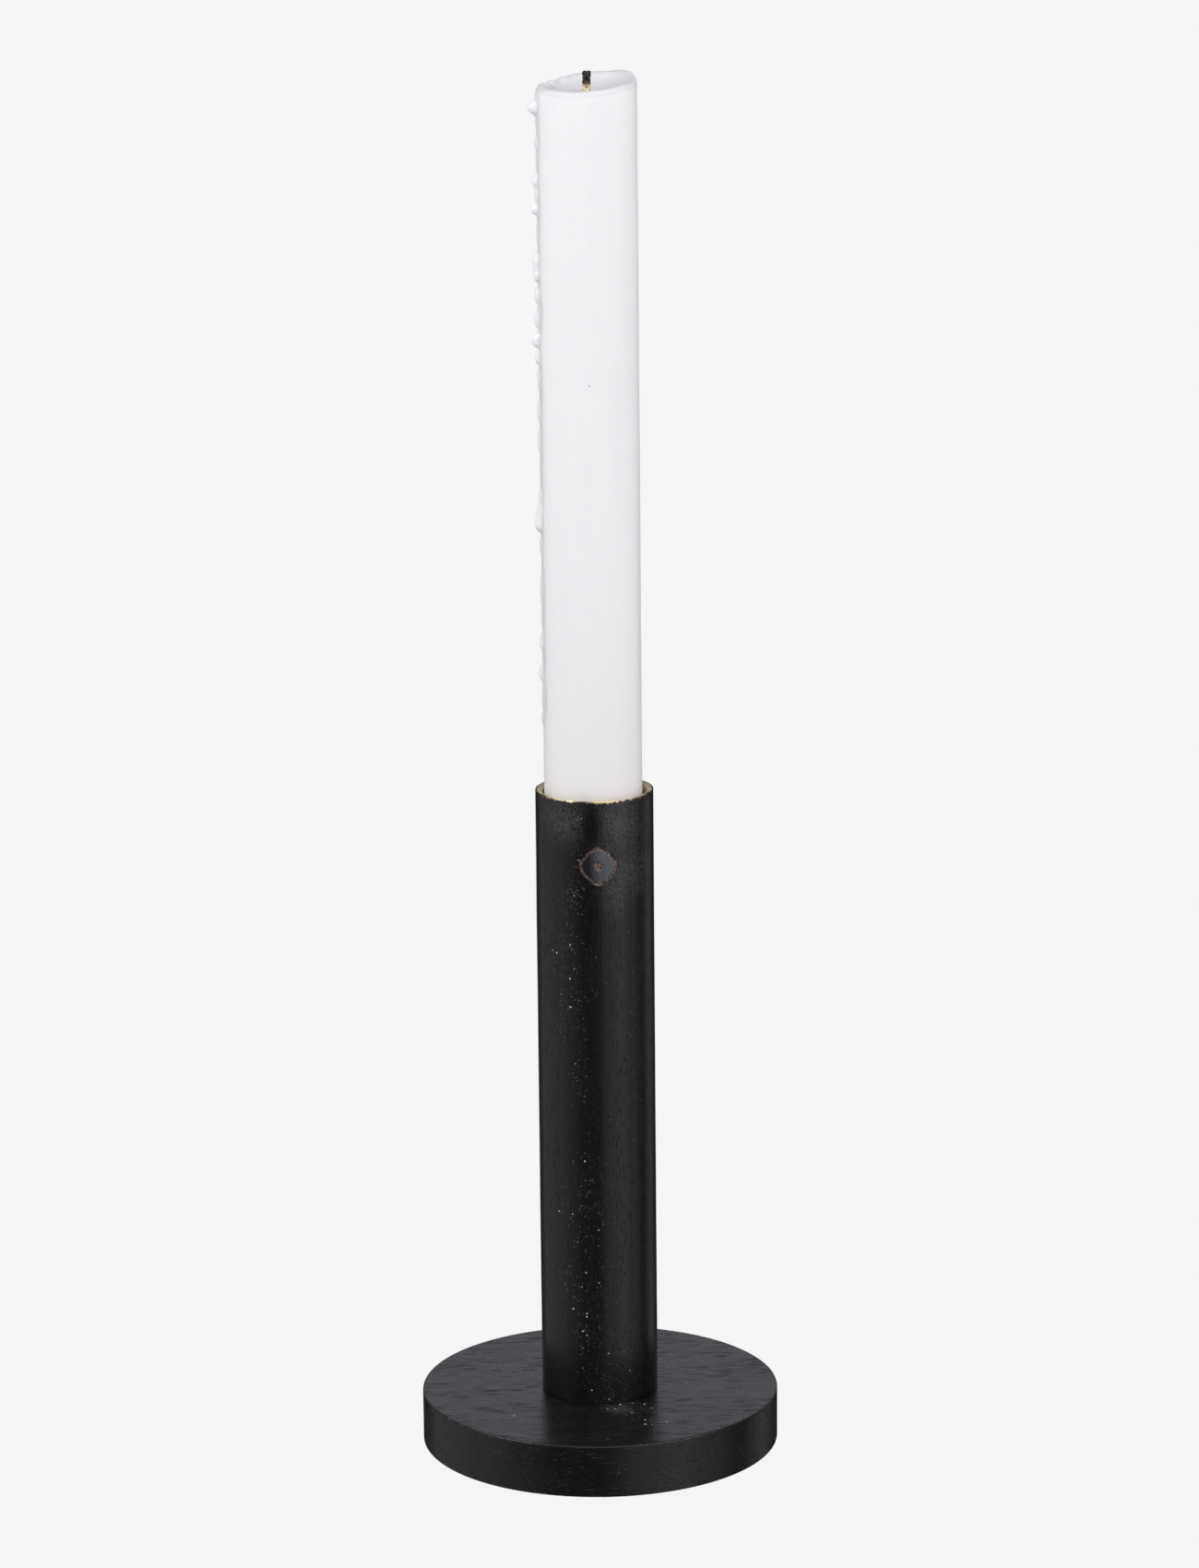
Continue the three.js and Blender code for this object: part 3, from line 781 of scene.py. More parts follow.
def lathe_tree():
    tree, given, result = geometry_tree(
        "Turned on a lathe",
        {
            "Segments": ("NodeSocketInt", 240),
            "Unevenness": ("NodeSocketFloat", 0.0),
            "Waves": ("NodeSocketFloat", 60.0),
            "Seed": ("NodeSocketFloat", 0.0),
            "Material": ("NodeSocketMaterial", None),
        },
    )
    hoop = 10 * MM
    profile = place(tree, "GeometryNodeMeshToCurve", {0: given.outputs["Geometry"]})
    drawn = place(tree, "ShaderNodeSeparateXYZ", {0: place(tree, "GeometryNodeInputPosition").outputs[0]})
    out = maths(tree, "SUBTRACT", drawn.outputs[0], hoop)
    down = maths(tree, "MULTIPLY", drawn.outputs[2], -1.0)
    laid = place(tree, "ShaderNodeCombineXYZ", {0: out, 1: down})
    blade = place(tree, "GeometryNodeSetPosition", {0: profile.outputs[0], "Position": laid.outputs[0]})
    ring = {"Resolution": given.outputs["Segments"], "Radius": hoop}
    path = place(tree, "GeometryNodeCurvePrimitiveCircle", ring)
    level = place(tree, "GeometryNodeSetCurveNormal", {0: path.outputs[0]}, mode="Z_UP")
    swept = place(tree, "GeometryNodeCurveToMesh", {0: level.outputs[0], 1: blade.outputs[0]})
    welded = place(tree, "GeometryNodeMergeByDistance", {0: swept.outputs[0], "Distance": 0.002 * MM})

    here = place(tree, "GeometryNodeInputPosition").outputs[0]
    outward = vector_maths(tree, "NORMALIZE", vector_maths(tree, "MULTIPLY", here, (1, 1, 0)))
    ripple = place(
        tree,
        "ShaderNodeTexNoise",
        {"Vector": here, "W": given.outputs["Seed"], "Scale": given.outputs["Waves"], "Detail": 2.0},
        noise_dimensions="4D",
    )
    either_way = maths(tree, "SUBTRACT", ripple.outputs[0], 0.5)
    swing = maths(tree, "MULTIPLY", either_way, given.outputs["Unevenness"])
    push = vector_maths(tree, "SCALE", outward)
    tree.links.new(swing, push.node.inputs["Scale"])
    made = place(tree, "GeometryNodeSetPosition", {0: welded.outputs[0], "Offset": push})
    facing_out = place(tree, "GeometryNodeFlipFaces", {0: made.outputs[0]})
    close_tree(tree, facing_out.outputs[0], given.outputs["Material"], result)
    return tree


LATHE = lathe_tree()

# %% [markdown]
# A modifier's inputs are set by the identifier of each socket, before the object is first evaluated.
# The evaluated result is then copied to a plain mesh and the modifier goes, so what is left is a mesh
# that any other program can read.

# %% Run a tree and keep the mesh it makes


def run_tree(name, mesh, tree, values):
    """Runs a geometry tree over mesh and returns an object with the plain result."""
    draft = bpy.data.objects.new(name + "_draft", mesh)
    bpy.context.scene.collection.objects.link(draft)
    modifier = draft.modifiers.new("tree", "NODES")
    modifier.node_group = tree
    for socket in tree.interface.items_tree:
        if socket.in_out == "INPUT" and socket.name in values:
            modifier[socket.identifier] = values[socket.name]
    bpy.context.view_layer.update()
    made = bpy.data.meshes.new_from_object(draft.evaluated_get(bpy.context.evaluated_depsgraph_get()))
    made.name = name
    draft.modifiers.remove(modifier)
    bpy.data.objects.remove(draft)
    piece = bpy.data.objects.new(name, made)
    bpy.context.scene.collection.objects.link(piece)
    return piece


def corners(piece):
    """The vertices of a piece as an array of rows."""
    rows = np.zeros(len(piece.data.vertices) * 3)
    piece.data.vertices.foreach_get("co", rows)
    return rows.reshape(-1, 3)


def move_corners(piece, rows):
    piece.data.vertices.foreach_set("co", rows.ravel())
    piece.data.update()


def volume_of(piece):
    work = bmesh.new()
    work.from_mesh(piece.data)
    loose = sum(1 for edge in work.edges if len(edge.link_faces) != 2)
    volume = work.calc_volume(signed=True)
    work.free()
    return volume, loose


def report(piece):
    volume, loose = volume_of(piece)
    print(
        f"{piece.name}: {len(piece.data.polygons)} faces, {volume / MM**3:.0f} mm3, {loose} open edges"
    )


# %% Draw a profile and turn it


def divided(points, longest):
    """The same line with its long stretches cut into steps no longer than longest."""
    line = [points[0]]
    for start, end in zip(points, points[1:]):
        steps = max(1, math.ceil(math.dist(start, end) / longest))
        for i in range(1, steps + 1):
            share = i / steps
            line.append((start[0] + (end[0] - start[0]) * share, start[1] + (end[1] - start[1]) * share))
    return line


def eased(start, corner, end, steps=6):
    """A rounded corner from start to end that bulges towards corner."""
    line = []
    for i in range(steps + 1):
        t = i / steps
        weights = ((1 - t) ** 2, 2 * t * (1 - t), t * t)
        line.append(tuple(sum(w * p[k] for w, p in zip(weights, (start, corner, end))) for k in (0, 1)))
    return line


def turned(name, points, material, segments=240, unevenness=0.0, waves=60.0, seed=0.0, closed=False):
    """A piece spun from a profile of (radius, height) points, listed from foot to top outside."""
    mesh = bpy.data.meshes.new(name + "_profile")
    line = points[:-1] if closed else points
    edges = [(i, i + 1) for i in range(len(line) - 1)]
    if closed:
        edges.append((len(line) - 1, 0))
    mesh.from_pydata([(radius, 0, height) for radius, height in line], edges, [])
    values = {
        "Segments": segments,
        "Unevenness": unevenness,
        "Waves": waves,
        "Seed": seed,
        "Material": material,
    }
    piece = run_tree(name, mesh, LATHE, values)
    report(piece)
    return piece


# %% [markdown]
# ## The base disc
#
# A disc a hand's breadth across, turned flat on top and square at the side. Its top edge is only just
# eased, and has lost a few chips of stain at the front. Underneath, a counterbore hides the screw, and
# on top a shallow mortise takes the column's tenon. The profile is closed, because the screw hole goes
# right through.

# %% Turn the base disc
WEB_TOP = TENON_FOOT - TENON_END_GAP
counterbore_radius = WASHER_RADIUS + COUNTERBORE_CLEARANCE
mortise_radius = tenon_radius + TENON_CLEARANCE
BASE_TOP_EASE = 0.4 * MM
BASE_FOOT_EASE = 0.3 * MM


def base_profile():
    foot_edge = eased(
        (BASE_RADIUS - BASE_FOOT_EASE, BASE_FOOT),
        (BASE_RADIUS, BASE_FOOT),
        (BASE_RADIUS, BASE_FOOT + BASE_FOOT_EASE),
    )
    top_edge = eased(
        (BASE_RADIUS, BASE_TOP - BASE_TOP_EASE),
        (BASE_RADIUS, BASE_TOP),
        (BASE_RADIUS - BASE_TOP_EASE, BASE_TOP),
    )
    underside = divided([(counterbore_radius, BASE_FOOT), foot_edge[0]], 2.5 * MM)
    side = divided([foot_edge[-1], top_edge[0]], 0.8 * MM)
    face = divided([top_edge[-1], (mortise_radius, BASE_TOP)], 1.2 * MM)
    return [
        (foot_hole, WEB_TOP),
        (foot_hole, WASHER_TOP),
        (counterbore_radius, WASHER_TOP),
        *underside,
        *foot_edge[1:],
        *side[1:],
        *top_edge[1:],
        *face[1:],
        (mortise_radius, WEB_TOP),
        (foot_hole, WEB_TOP),
    ]


base = turned(
    "base_disc_turned", base_profile(), BASE_WOOD, 540, unevenness=0.12 * MM, waves=45, seed=3.0, closed=True
)

# %% [markdown]
# ## The column
#
# A plain cylinder with a tenon at its foot and a deep bore at its top for the brass cup. The rim of
# wood round the cup is a quarter of a millimetre wide, so it has worn ragged: small bites are
# missing all the way round. The bites are real geometry, lowered from the finished rim.

# %% Turn the column
RIM_EASE = 0.12 * MM
FOOT_EASE = 0.2 * MM
MARK_HEIGHT = RIM - 14.4 * MM
MARK_HALF = 5.2 * MM
FINE_STEP = 0.16 * MM


def stem_profile():
    bore = cup_outer + CUP_CLEARANCE
    lip_under = RIM - CUP_LIP_THICKNESS
    bore_floor = CUP_FOOT - CUP_CLEARANCE
    pilot_top = WASHER_FOOT + FOOT_SCREW_LENGTH + PILOT_OVERRUN
    pilot_floor = cup_floor - CUP_SCREW_LENGTH - PILOT_OVERRUN
    foot_edge = eased(
        (STEM_RADIUS - FOOT_EASE, BASE_TOP),
        (STEM_RADIUS, BASE_TOP),
        (STEM_RADIUS, BASE_TOP + FOOT_EASE),
        4,
    )
    rim_edge = eased((STEM_RADIUS, RIM - RIM_EASE), (STEM_RADIUS, RIM), (STEM_RADIUS - RIM_EASE, RIM), 4)
    below_mark = divided([foot_edge[-1], (STEM_RADIUS, MARK_HEIGHT - MARK_HALF)], 2.2 * MM)
    mark = divided([below_mark[-1], (STEM_RADIUS, MARK_HEIGHT + MARK_HALF)], FINE_STEP)
    above_mark = divided([mark[-1], (STEM_RADIUS, RIM - 1 * MM)], 1.5 * MM)
    top = divided([above_mark[-1], rim_edge[0]], 0.25 * MM)
    return [
        (0, pilot_top),
        (foot_hole, pilot_top),
        (foot_hole, TENON_FOOT),
        (tenon_radius - TENON_CHAMFER, TENON_FOOT),
        (tenon_radius, TENON_FOOT + TENON_CHAMFER),
        (tenon_radius, BASE_TOP),
        *foot_edge,
        *below_mark[1:],
        *mark[1:],
        *above_mark[1:],
        *top[1:],
        *rim_edge[1:],
        (rebate_radius, RIM),
        (rebate_radius, lip_under),
        (bore, lip_under),
        (bore, bore_floor),
        (cup_hole, bore_floor),
        (cup_hole, pilot_floor),
        (0, pilot_floor),
    ]


stem = turned("stem_turned", stem_profile(), STEM_WOOD, 500, unevenness=0.14 * MM, waves=35, seed=8.0)

# %% Wear the rim
WEAR_BAND = 0.9 * MM
RIM_WEAR = [(282, 17, 1.0), (232, 16, 0.6), (315, 16, 0.55)]
RIM_WEAR += [(190, 20, 0.35), (350, 20, 0.35), (90, 90, 0.4)]


def wear_at(angle):
    """How worn the rim is at an angle in degrees: each entry is (middle, spread, strength)."""
    most_worn = 0.0
    for middle, spread, strength in RIM_WEAR:
        away = abs((angle - middle + 180) % 360 - 180)
        most_worn = max(most_worn, strength * min(1.0, max(0.0, 1.35 - away / spread) * 2.5))
    return most_worn


def wear_rim(piece, depth):
    """Lowers the outer rim in small uneven bites, deepest 'depth' below the finished rim."""
    rows = corners(piece)
    reach = np.hypot(rows[:, 0], rows[:, 1])
    near = np.where((rows[:, 2] > RIM - WEAR_BAND) & (reach > rebate_radius - 0.01 * MM))[0]
    for i in near:
        angle = math.atan2(rows[i, 1], rows[i, 0])
        around = Vector((math.cos(angle), math.sin(angle), 0.0))
        coarse = noise.noise(around * 9.0)
        fine = noise.noise(around * 55.0 + Vector((0, 0, 5)))
        bite = max(0.0, 0.35 + coarse * 0.5 + fine * 1.3) * wear_at(math.degrees(angle))
        share = min(1.0, (rows[i, 2] - (RIM - 0.9 * MM)) / (0.9 * MM))
        rows[i, 2] -= depth * min(1.0, bite * 1.5) * share
    move_corners(piece, rows)
    print("rim: lowered", len(near), "points by up to", round((RIM - rows[near, 2].min()) / MM, 2), "mm")


wear_rim(stem, 0.65 * MM)

# %% [markdown]
# ## The burnt mark
#
# Workshops press a hot iron into the wood to show where a piece was made. Here the mark is a neutral
# one: a diamond outline with a dot in it. The iron sinks the wood a fifth of a millimetre, so the
# outline is pressed into the mesh, which is why the rows of the column are close together there. The
# same shape is stored as an attribute called burn, and the wood finish turns brown by it. A second
# attribute says where the hot plate between the lines has pressed the wood, and there the finish paints
# the wood lighter and bluish, more so to the right: a painted sheen.

# %% Press the mark into the column
MARK_TURN = math.radians(3.3)
MARK_SIZE = 4.085 * MM
MARK_CORNER = 1.4
MARK_LINE = 0.62 * MM
MARK_DOT = 0.95 * MM
MARK_DEPTH = 0.2 * MM


def diamond_reach(across, up):
    """Distance from the middle of the mark, even along a diamond with rounded corners."""
    return (np.abs(across) ** MARK_CORNER + np.abs(up) ** MARK_CORNER) ** (1 / MARK_CORNER)


def mark_strength(across, up):
    """One on the burnt lines, nought off them: the outline of the diamond, and a dot."""
    soft = 0.12 * MM
    line = np.abs(diamond_reach(across, up) - MARK_SIZE) - MARK_LINE / 2
    dot = np.hypot(across, up) - MARK_DOT
    return np.clip(0.5 - np.minimum(line, dot) / (2 * soft), 0, 1)


def press_mark(piece):
    rows = corners(piece)
    angle = np.arctan2(rows[:, 0], -rows[:, 1]) - MARK_TURN
    reach = np.hypot(rows[:, 0], rows[:, 1])
    skin = (reach > STEM_RADIUS - 0.5 * MM) & (np.abs(rows[:, 2] - MARK_HEIGHT) < MARK_HALF)
    across, up = angle * STEM_RADIUS, rows[:, 2] - MARK_HEIGHT
    strength = np.where(skin, mark_strength(across, up), 0)
    wandering = [noise.noise(Vector(row) * 600) if s > 0 else 0.5 for row, s in zip(rows, strength)]
    uneven = 0.75 + 0.5 * np.array(wandering)
    shrink = 1 - MARK_DEPTH * strength * uneven / np.maximum(reach, MM)
    rows[:, :2] *= shrink[:, None]
    move_corners(piece, rows)
    # Inside the diamond, fading to the left, is where the wood finish paints a sheen.
    inside = np.clip((MARK_SIZE - diamond_reach(across, up)) / (0.3 * MM), 0, 1)
    to_right = np.clip((across + 2.2 * MM) / (2.5 * MM), 0.1, 1)
    pressed_sheen = np.where(skin, inside * to_right, 0)
    for name, values in (("burn", strength * np.clip(uneven, 0, 1)), ("pressed_sheen", pressed_sheen)):
        stored = piece.data.attributes.new(name, "FLOAT", "POINT")
        stored.data.foreach_set("value", values.astype(np.float32))
    print("mark: pressed", int((strength > 0.5).sum()), "points")


press_mark(stem)

# %% [markdown]
# ## The brass cup
#
# The cup is one spun shell: a floor with a hole for its screw, a wall, and a narrow lip that is turned
# out over the wood. Spinning leaves it slightly wavy, and it has been knocked by many candles, so it
# gets more unevenness for its size than the wood does.

# %% Spin the cup
LIP_DISH = 0.25 * MM
LIP_EDGE = 0.24 * MM


def cup_profile():
    lip_under = RIM - CUP_LIP_THICKNESS
    outer_edge = eased((lip_radius, RIM - LIP_EDGE), (lip_radius, RIM), (lip_radius - LIP_EDGE, RIM), 3)
    inner_edge = eased(
        (cup_inner + LIP_EDGE, RIM - LIP_DISH),
        (cup_inner, RIM - LIP_DISH),
        (cup_inner, RIM - LIP_DISH - LIP_EDGE),
        3,
    )
    return [
        (cup_hole, CUP_FOOT),
        (cup_outer, CUP_FOOT),
        *divided([(cup_outer, CUP_FOOT), (cup_outer, lip_under)], 2 * MM)[1:],
        (lip_radius, lip_under),
        *outer_edge,
        *divided([outer_edge[-1], inner_edge[0]], 0.2 * MM)[1:-1],
        *inner_edge,
        *divided([inner_edge[-1], (cup_inner, cup_floor)], 1 * MM)[1:],
        (cup_hole, cup_floor),
        (cup_hole, CUP_FOOT),
    ]


cup = turned(
    "candle_cup_spun", cup_profile(), BRASS, 300, unevenness=0.06 * MM, waves=260, seed=2.0, closed=True
)

# %% [markdown]
# ## Washer and felt
#
# The washer is a plain stamped ring, with its edges rolled over by the die on one side. The felt is a
# disc a little smaller than the base. A cut edge of felt is never clean: loose fibres stand out of it,
# and a second tree scatters those round the rim.

# %% Stamp the washer
STAMPED = 0.15 * MM


def washer_profile():
    outer = eased(
        (WASHER_RADIUS, WASHER_TOP - STAMPED),
        (WASHER_RADIUS, WASHER_TOP),
        (WASHER_RADIUS - STAMPED, WASHER_TOP),
        3,
    )
    inner = eased(
        (foot_hole + STAMPED, WASHER_TOP),
        (foot_hole, WASHER_TOP),
        (foot_hole, WASHER_TOP - STAMPED),
        3,
    )
    start = (foot_hole, WASHER_FOOT)
    return [start, (WASHER_RADIUS, WASHER_FOOT), *outer, *inner, start]


washer = turned("foot_washer_stamped", washer_profile(), STEEL, 120, closed=True)

# %% Cut the felt and raise its fibres


def fuzz_tree():
    tree, given, result = geometry_tree(
        "Fibres on a cut edge",
        {
            "Radius": ("NodeSocketFloat", FELT_RADIUS),
            "Thickness": ("NodeSocketFloat", FELT_TOP),
            "Count": ("NodeSocketInt", 900),
            "Length": ("NodeSocketFloat", 0.7 * MM),
            "Seed": ("NodeSocketInt", 4),
            "Material": ("NodeSocketMaterial", None),
        },
    )
    ring = place(
        tree,
        "GeometryNodeCurvePrimitiveCircle",
        {"Resolution": given.outputs["Count"], "Radius": given.outputs["Radius"]},
    )
    points = place(tree, "GeometryNodeCurveToPoints", {0: ring.outputs[0]}, mode="EVALUATED")

    def chance(low, high, salt):
        seed = maths(tree, "ADD", given.outputs["Seed"], salt)
        inputs = {2: low, 3: high, 8: seed}
        return place(tree, "FunctionNodeRandomValue", inputs, data_type="FLOAT").outputs[1]

    height = maths(tree, "MULTIPLY", chance(0.15, 0.9, 1), given.outputs["Thickness"])
    lift = place(tree, "ShaderNodeCombineXYZ", {2: height})
    spread = place(tree, "GeometryNodeSetPosition", {0: points.outputs[0], "Offset": lift.outputs[0]})
    fibre = place(tree, "GeometryNodeCurvePrimitiveLine", {"Start": (0, 0, 0), "End": (0, 0, 1)})
    fibre = place(tree, "GeometryNodeResampleCurve", {0: fibre.outputs[0], "Count": 4}, mode="COUNT")
    along = place(tree, "GeometryNodeSplineParameter").outputs["Factor"]
    sag = maths(tree, "MULTIPLY", maths(tree, "POWER", along, 2), 0.6)
    bend = place(tree, "ShaderNodeCombineXYZ", {0: sag})
    fibre = place(tree, "GeometryNodeSetPosition", {0: fibre.outputs[0], "Offset": bend.outputs[0]})
    section = place(tree, "GeometryNodeCurvePrimitiveCircle", {"Resolution": 3, "Radius": 0.035})
    hair = place(
        tree, "GeometryNodeCurveToMesh", {0: fibre.outputs[0], 1: section.outputs[0], "Fill Caps": True}
    )
    outward = place(tree, "GeometryNodeInputPosition").outputs[0]
    lean = vector_maths(tree, "NORMALIZE", vector_maths(tree, "MULTIPLY", outward, (1, 1, 0)))
    sideways = {0: chance(-0.6, 0.6, 2), 1: chance(-0.6, 0.6, 3), 2: chance(-0.3, 0.3, 4)}
    tilt = place(tree, "ShaderNodeCombineXYZ", sideways)
    aimed = place(
        tree,
        "FunctionNodeAlignRotationToVector",
        {"Vector": vector_maths(tree, "ADD", lean, tilt.outputs[0])},
        axis="Z",
    )
    size = maths(tree, "MULTIPLY", given.outputs["Length"], chance(0.4, 1.0, 5))
    scattered = place(
        tree,
        "GeometryNodeInstanceOnPoints",
        {0: spread.outputs[0], "Instance": hair.outputs[0], "Rotation": aimed.outputs[0], "Scale": size},
    )
    both = place(tree, "GeometryNodeJoinGeometry")
    tree.links.new(scattered.outputs[0], both.inputs[0])
    tree.links.new(given.outputs["Geometry"], both.inputs[0])
    close_tree(tree, both.outputs[0], given.outputs["Material"], result)
    return tree


FELT_EDGE = 0.2 * MM
felt_edge = eased(
    (FELT_RADIUS - FELT_EDGE, FELT_FOOT), (FELT_RADIUS, FELT_FOOT), (FELT_RADIUS, FELT_FOOT + FELT_EDGE), 3
)
felt_profile = [
    (0, FELT_FOOT),
    *divided([(0, FELT_FOOT), (FELT_RADIUS - FELT_EDGE, FELT_FOOT)], 3 * MM)[1:],
    *felt_edge[1:],
    (FELT_RADIUS, FELT_TOP),
    *divided([(FELT_RADIUS, FELT_TOP), (0, FELT_TOP)], 3 * MM)[1:],
]
plain_felt = turned("felt_plain", felt_profile, FELT, 300, unevenness=0.25 * MM, waves=300, seed=5.0)
felt = run_tree(
    "felt_disc",
    plain_felt.data,
    fuzz_tree(),
    {
        "Radius": FELT_RADIUS,
        "Thickness": FELT_TOP,
        "Count": 900,
        "Length": 0.7 * MM,
        "Seed": 4,
        "Material": FELT,
    },
)
bpy.data.objects.remove(plain_felt)
felt_rows = corners(felt)
felt_rows[:, 2] = np.maximum(felt_rows[:, 2], FELT_FOOT)
move_corners(felt, felt_rows)
report(felt)

# %% [markdown]
# ## The screws
#
# Both are pan-head wood screws: a domed head with a cross cut in it, a plain neck, a thread and a
# point. The blank is turned on the same lathe. The thread is a ridge that follows a helix, so a tree
# sweeps a small triangle along a spiral, which narrows with the point.

# %% Build the thread tree


def thread_tree():
    tree, given, result = geometry_tree(
        "Wood screw thread",
        {
            "Root Radius": ("NodeSocketFloat", 1.8 * MM),
            "Length": ("NodeSocketFloat", 24 * MM),
            "Point": ("NodeSocketFloat", 5 * MM),
            "Pitch": ("NodeSocketFloat", 2.2 * MM),
            "Depth": ("NodeSocketFloat", 0.7 * MM),
            "Material": ("NodeSocketMaterial", None),
        },
    )
    length, point = given.outputs["Length"], given.outputs["Point"]
    turns = maths(tree, "DIVIDE", length, given.outputs["Pitch"])
    line = place(tree, "GeometryNodeCurvePrimitiveLine", {"Start": (0, 0, 0), "End": (0, 0, 1)})
    steps = maths(tree, "MULTIPLY", turns, 28)
    line = place(tree, "GeometryNodeResampleCurve", {0: line.outputs[0], "Count": steps}, mode="COUNT")
    along = place(tree, "GeometryNodeSplineParameter").outputs["Factor"]
    height = maths(tree, "MULTIPLY", along, length)
    left = maths(tree, "SUBTRACT", length, height)
    taper = maths(tree, "MINIMUM", maths(tree, "DIVIDE", left, point), 1.0)
    start = maths(tree, "MINIMUM", maths(tree, "MULTIPLY", along, 12.0), 1.0)
    radius = maths(tree, "MULTIPLY", given.outputs["Root Radius"], maths(tree, "MAXIMUM", taper, 0.04))
    angle = maths(tree, "MULTIPLY", maths(tree, "MULTIPLY", along, turns), 2 * math.pi)
    wound = place(
        tree,
        "ShaderNodeCombineXYZ",
        {
            0: maths(tree, "MULTIPLY", radius, maths(tree, "COSINE", angle)),
            1: maths(tree, "MULTIPLY", radius, maths(tree, "SINE", angle)),
            2: height,
        },
    )
    helix = place(tree, "GeometryNodeSetPosition", {0: line.outputs[0], "Position": wound.outputs[0]})
    upright = place(tree, "GeometryNodeSetCurveNormal", {0: helix.outputs[0]}, mode="Z_UP")
    ridge = maths(tree, "MULTIPLY", start, maths(tree, "MAXIMUM", taper, 0.15))
    section = place(
        tree, "GeometryNodeCurvePrimitiveCircle", {"Resolution": 3, "Radius": given.outputs["Depth"]}
    )
    swept = place(
        tree,
        "GeometryNodeCurveToMesh",
        {0: upright.outputs[0], 1: section.outputs[0], "Scale": ridge, "Fill Caps": True},
    )
    both = place(tree, "GeometryNodeJoinGeometry")
    tree.links.new(swept.outputs[0], both.inputs[0])
    tree.links.new(given.outputs["Geometry"], both.inputs[0])
    close_tree(tree, both.outputs[0], given.outputs["Material"], result)
    return tree


THREAD = thread_tree()

# %% Make a screw that stands on its head, then place it


def cross_cut(piece, reach, slot, depth):
    """Cuts a cross recess into the head of a screw that stands on its head at height nought."""
    low = corners(piece)[:, 2].min()
    for size in ((reach, slot, 2 * depth), (slot, reach, 2 * depth)):
        work = bmesh.new()
        bmesh.ops.create_cube(work, size=1.0)
        bmesh.ops.scale(work, vec=size, verts=work.verts)
        bmesh.ops.translate(work, vec=(0, 0, low), verts=work.verts)
        arm_mesh = bpy.data.meshes.new("arm")
        work.to_mesh(arm_mesh)
        work.free()
        arm = bpy.data.objects.new("arm", arm_mesh)
        bpy.context.scene.collection.objects.link(arm)
        cut = piece.modifiers.new("cut", "BOOLEAN")
        cut.operation, cut.object, cut.solver = "DIFFERENCE", arm, "EXACT"
        bpy.context.view_layer.update()
        graph = bpy.context.evaluated_depsgraph_get()
        piece.data = bpy.data.meshes.new_from_object(piece.evaluated_get(graph))
        piece.modifiers.remove(cut)
        bpy.data.objects.remove(arm)


def wood_screw(name, shank, length, head, head_height, point, slot, pitch, material):
    dome = head_height * 0.5
    root = shank / 2 * 0.74
    neck = length * 0.28
    crown = eased(
        (head / 2 - dome, -head_height),
        (head / 2 - dome * 0.1, -head_height),
        (head / 2, dome - head_height),
        5,
    )
    blank = turned(
        name + "_blank",
        [
            (0, -head_height),
            *crown,
            (head / 2, 0),
            (shank / 2, 0),
            (shank / 2, neck),
            (root, neck + 0.4 * shank),
            (root, length - point),
            (0, length),
        ],
        material,
        64,
    )
    cross_cut(blank, head * 0.6, slot, head_height * 0.6)
    blank.data.transform(Matrix.Translation((0, 0, -neck)))
    values = {
        "Root Radius": root,
        "Length": length - neck,
        "Point": point,
        "Pitch": pitch,
        "Depth": shank / 2 - root,
        "Material": material,
    }
    screw = run_tree(name, blank.data, THREAD, values)
    bpy.data.objects.remove(blank)
    screw.data.transform(Matrix.Translation((0, 0, neck)))
    report(screw)
    return screw


foot_screw = wood_screw(
    "foot_screw_threaded",
    FOOT_SCREW_SHANK,
    FOOT_SCREW_LENGTH,
    head=9.5 * MM,
    head_height=3 * MM,
    point=5 * MM,
    slot=1.1 * MM,
    pitch=2.2 * MM,
    material=STEEL,
)
foot_screw.data.transform(Matrix.Translation((0, 0, WASHER_FOOT)))
cup_screw = wood_screw(
    "cup_screw_threaded",
    CUP_SCREW_SHANK,
    CUP_SCREW_LENGTH,
    head=5.6 * MM,
    head_height=1.6 * MM,
    point=3 * MM,
    slot=0.7 * MM,
    pitch=1.35 * MM,
    material=SCREW_BRASS,
)
cup_screw.data.transform(Matrix.Translation((0, 0, cup_floor)) @ Matrix.Rotation(math.pi, 4, "X"))

# %% [markdown]
# ## The candle
#
# The candle is turned like the rest, with a shallow pool in its top and a hole for the wick. Then it
# burns: the lip melts lower on one side than on the other, one corner at the back stays high, small
# bites are missing where wax spilled over at the left, and the whole lip is soft and round.

# %% Turn the candle
LIP = CANDLE_HIGHEST - 1.5 * MM
LIP_ROUND = 0.9 * MM
POOL_RADIUS = CANDLE_RADIUS - 2.2 * MM
POOL_DEPTH = 2.3 * MM
FOOT_CHAMFER = 1.0 * MM
wick_hole = WICK_RADIUS + 0.04 * MM


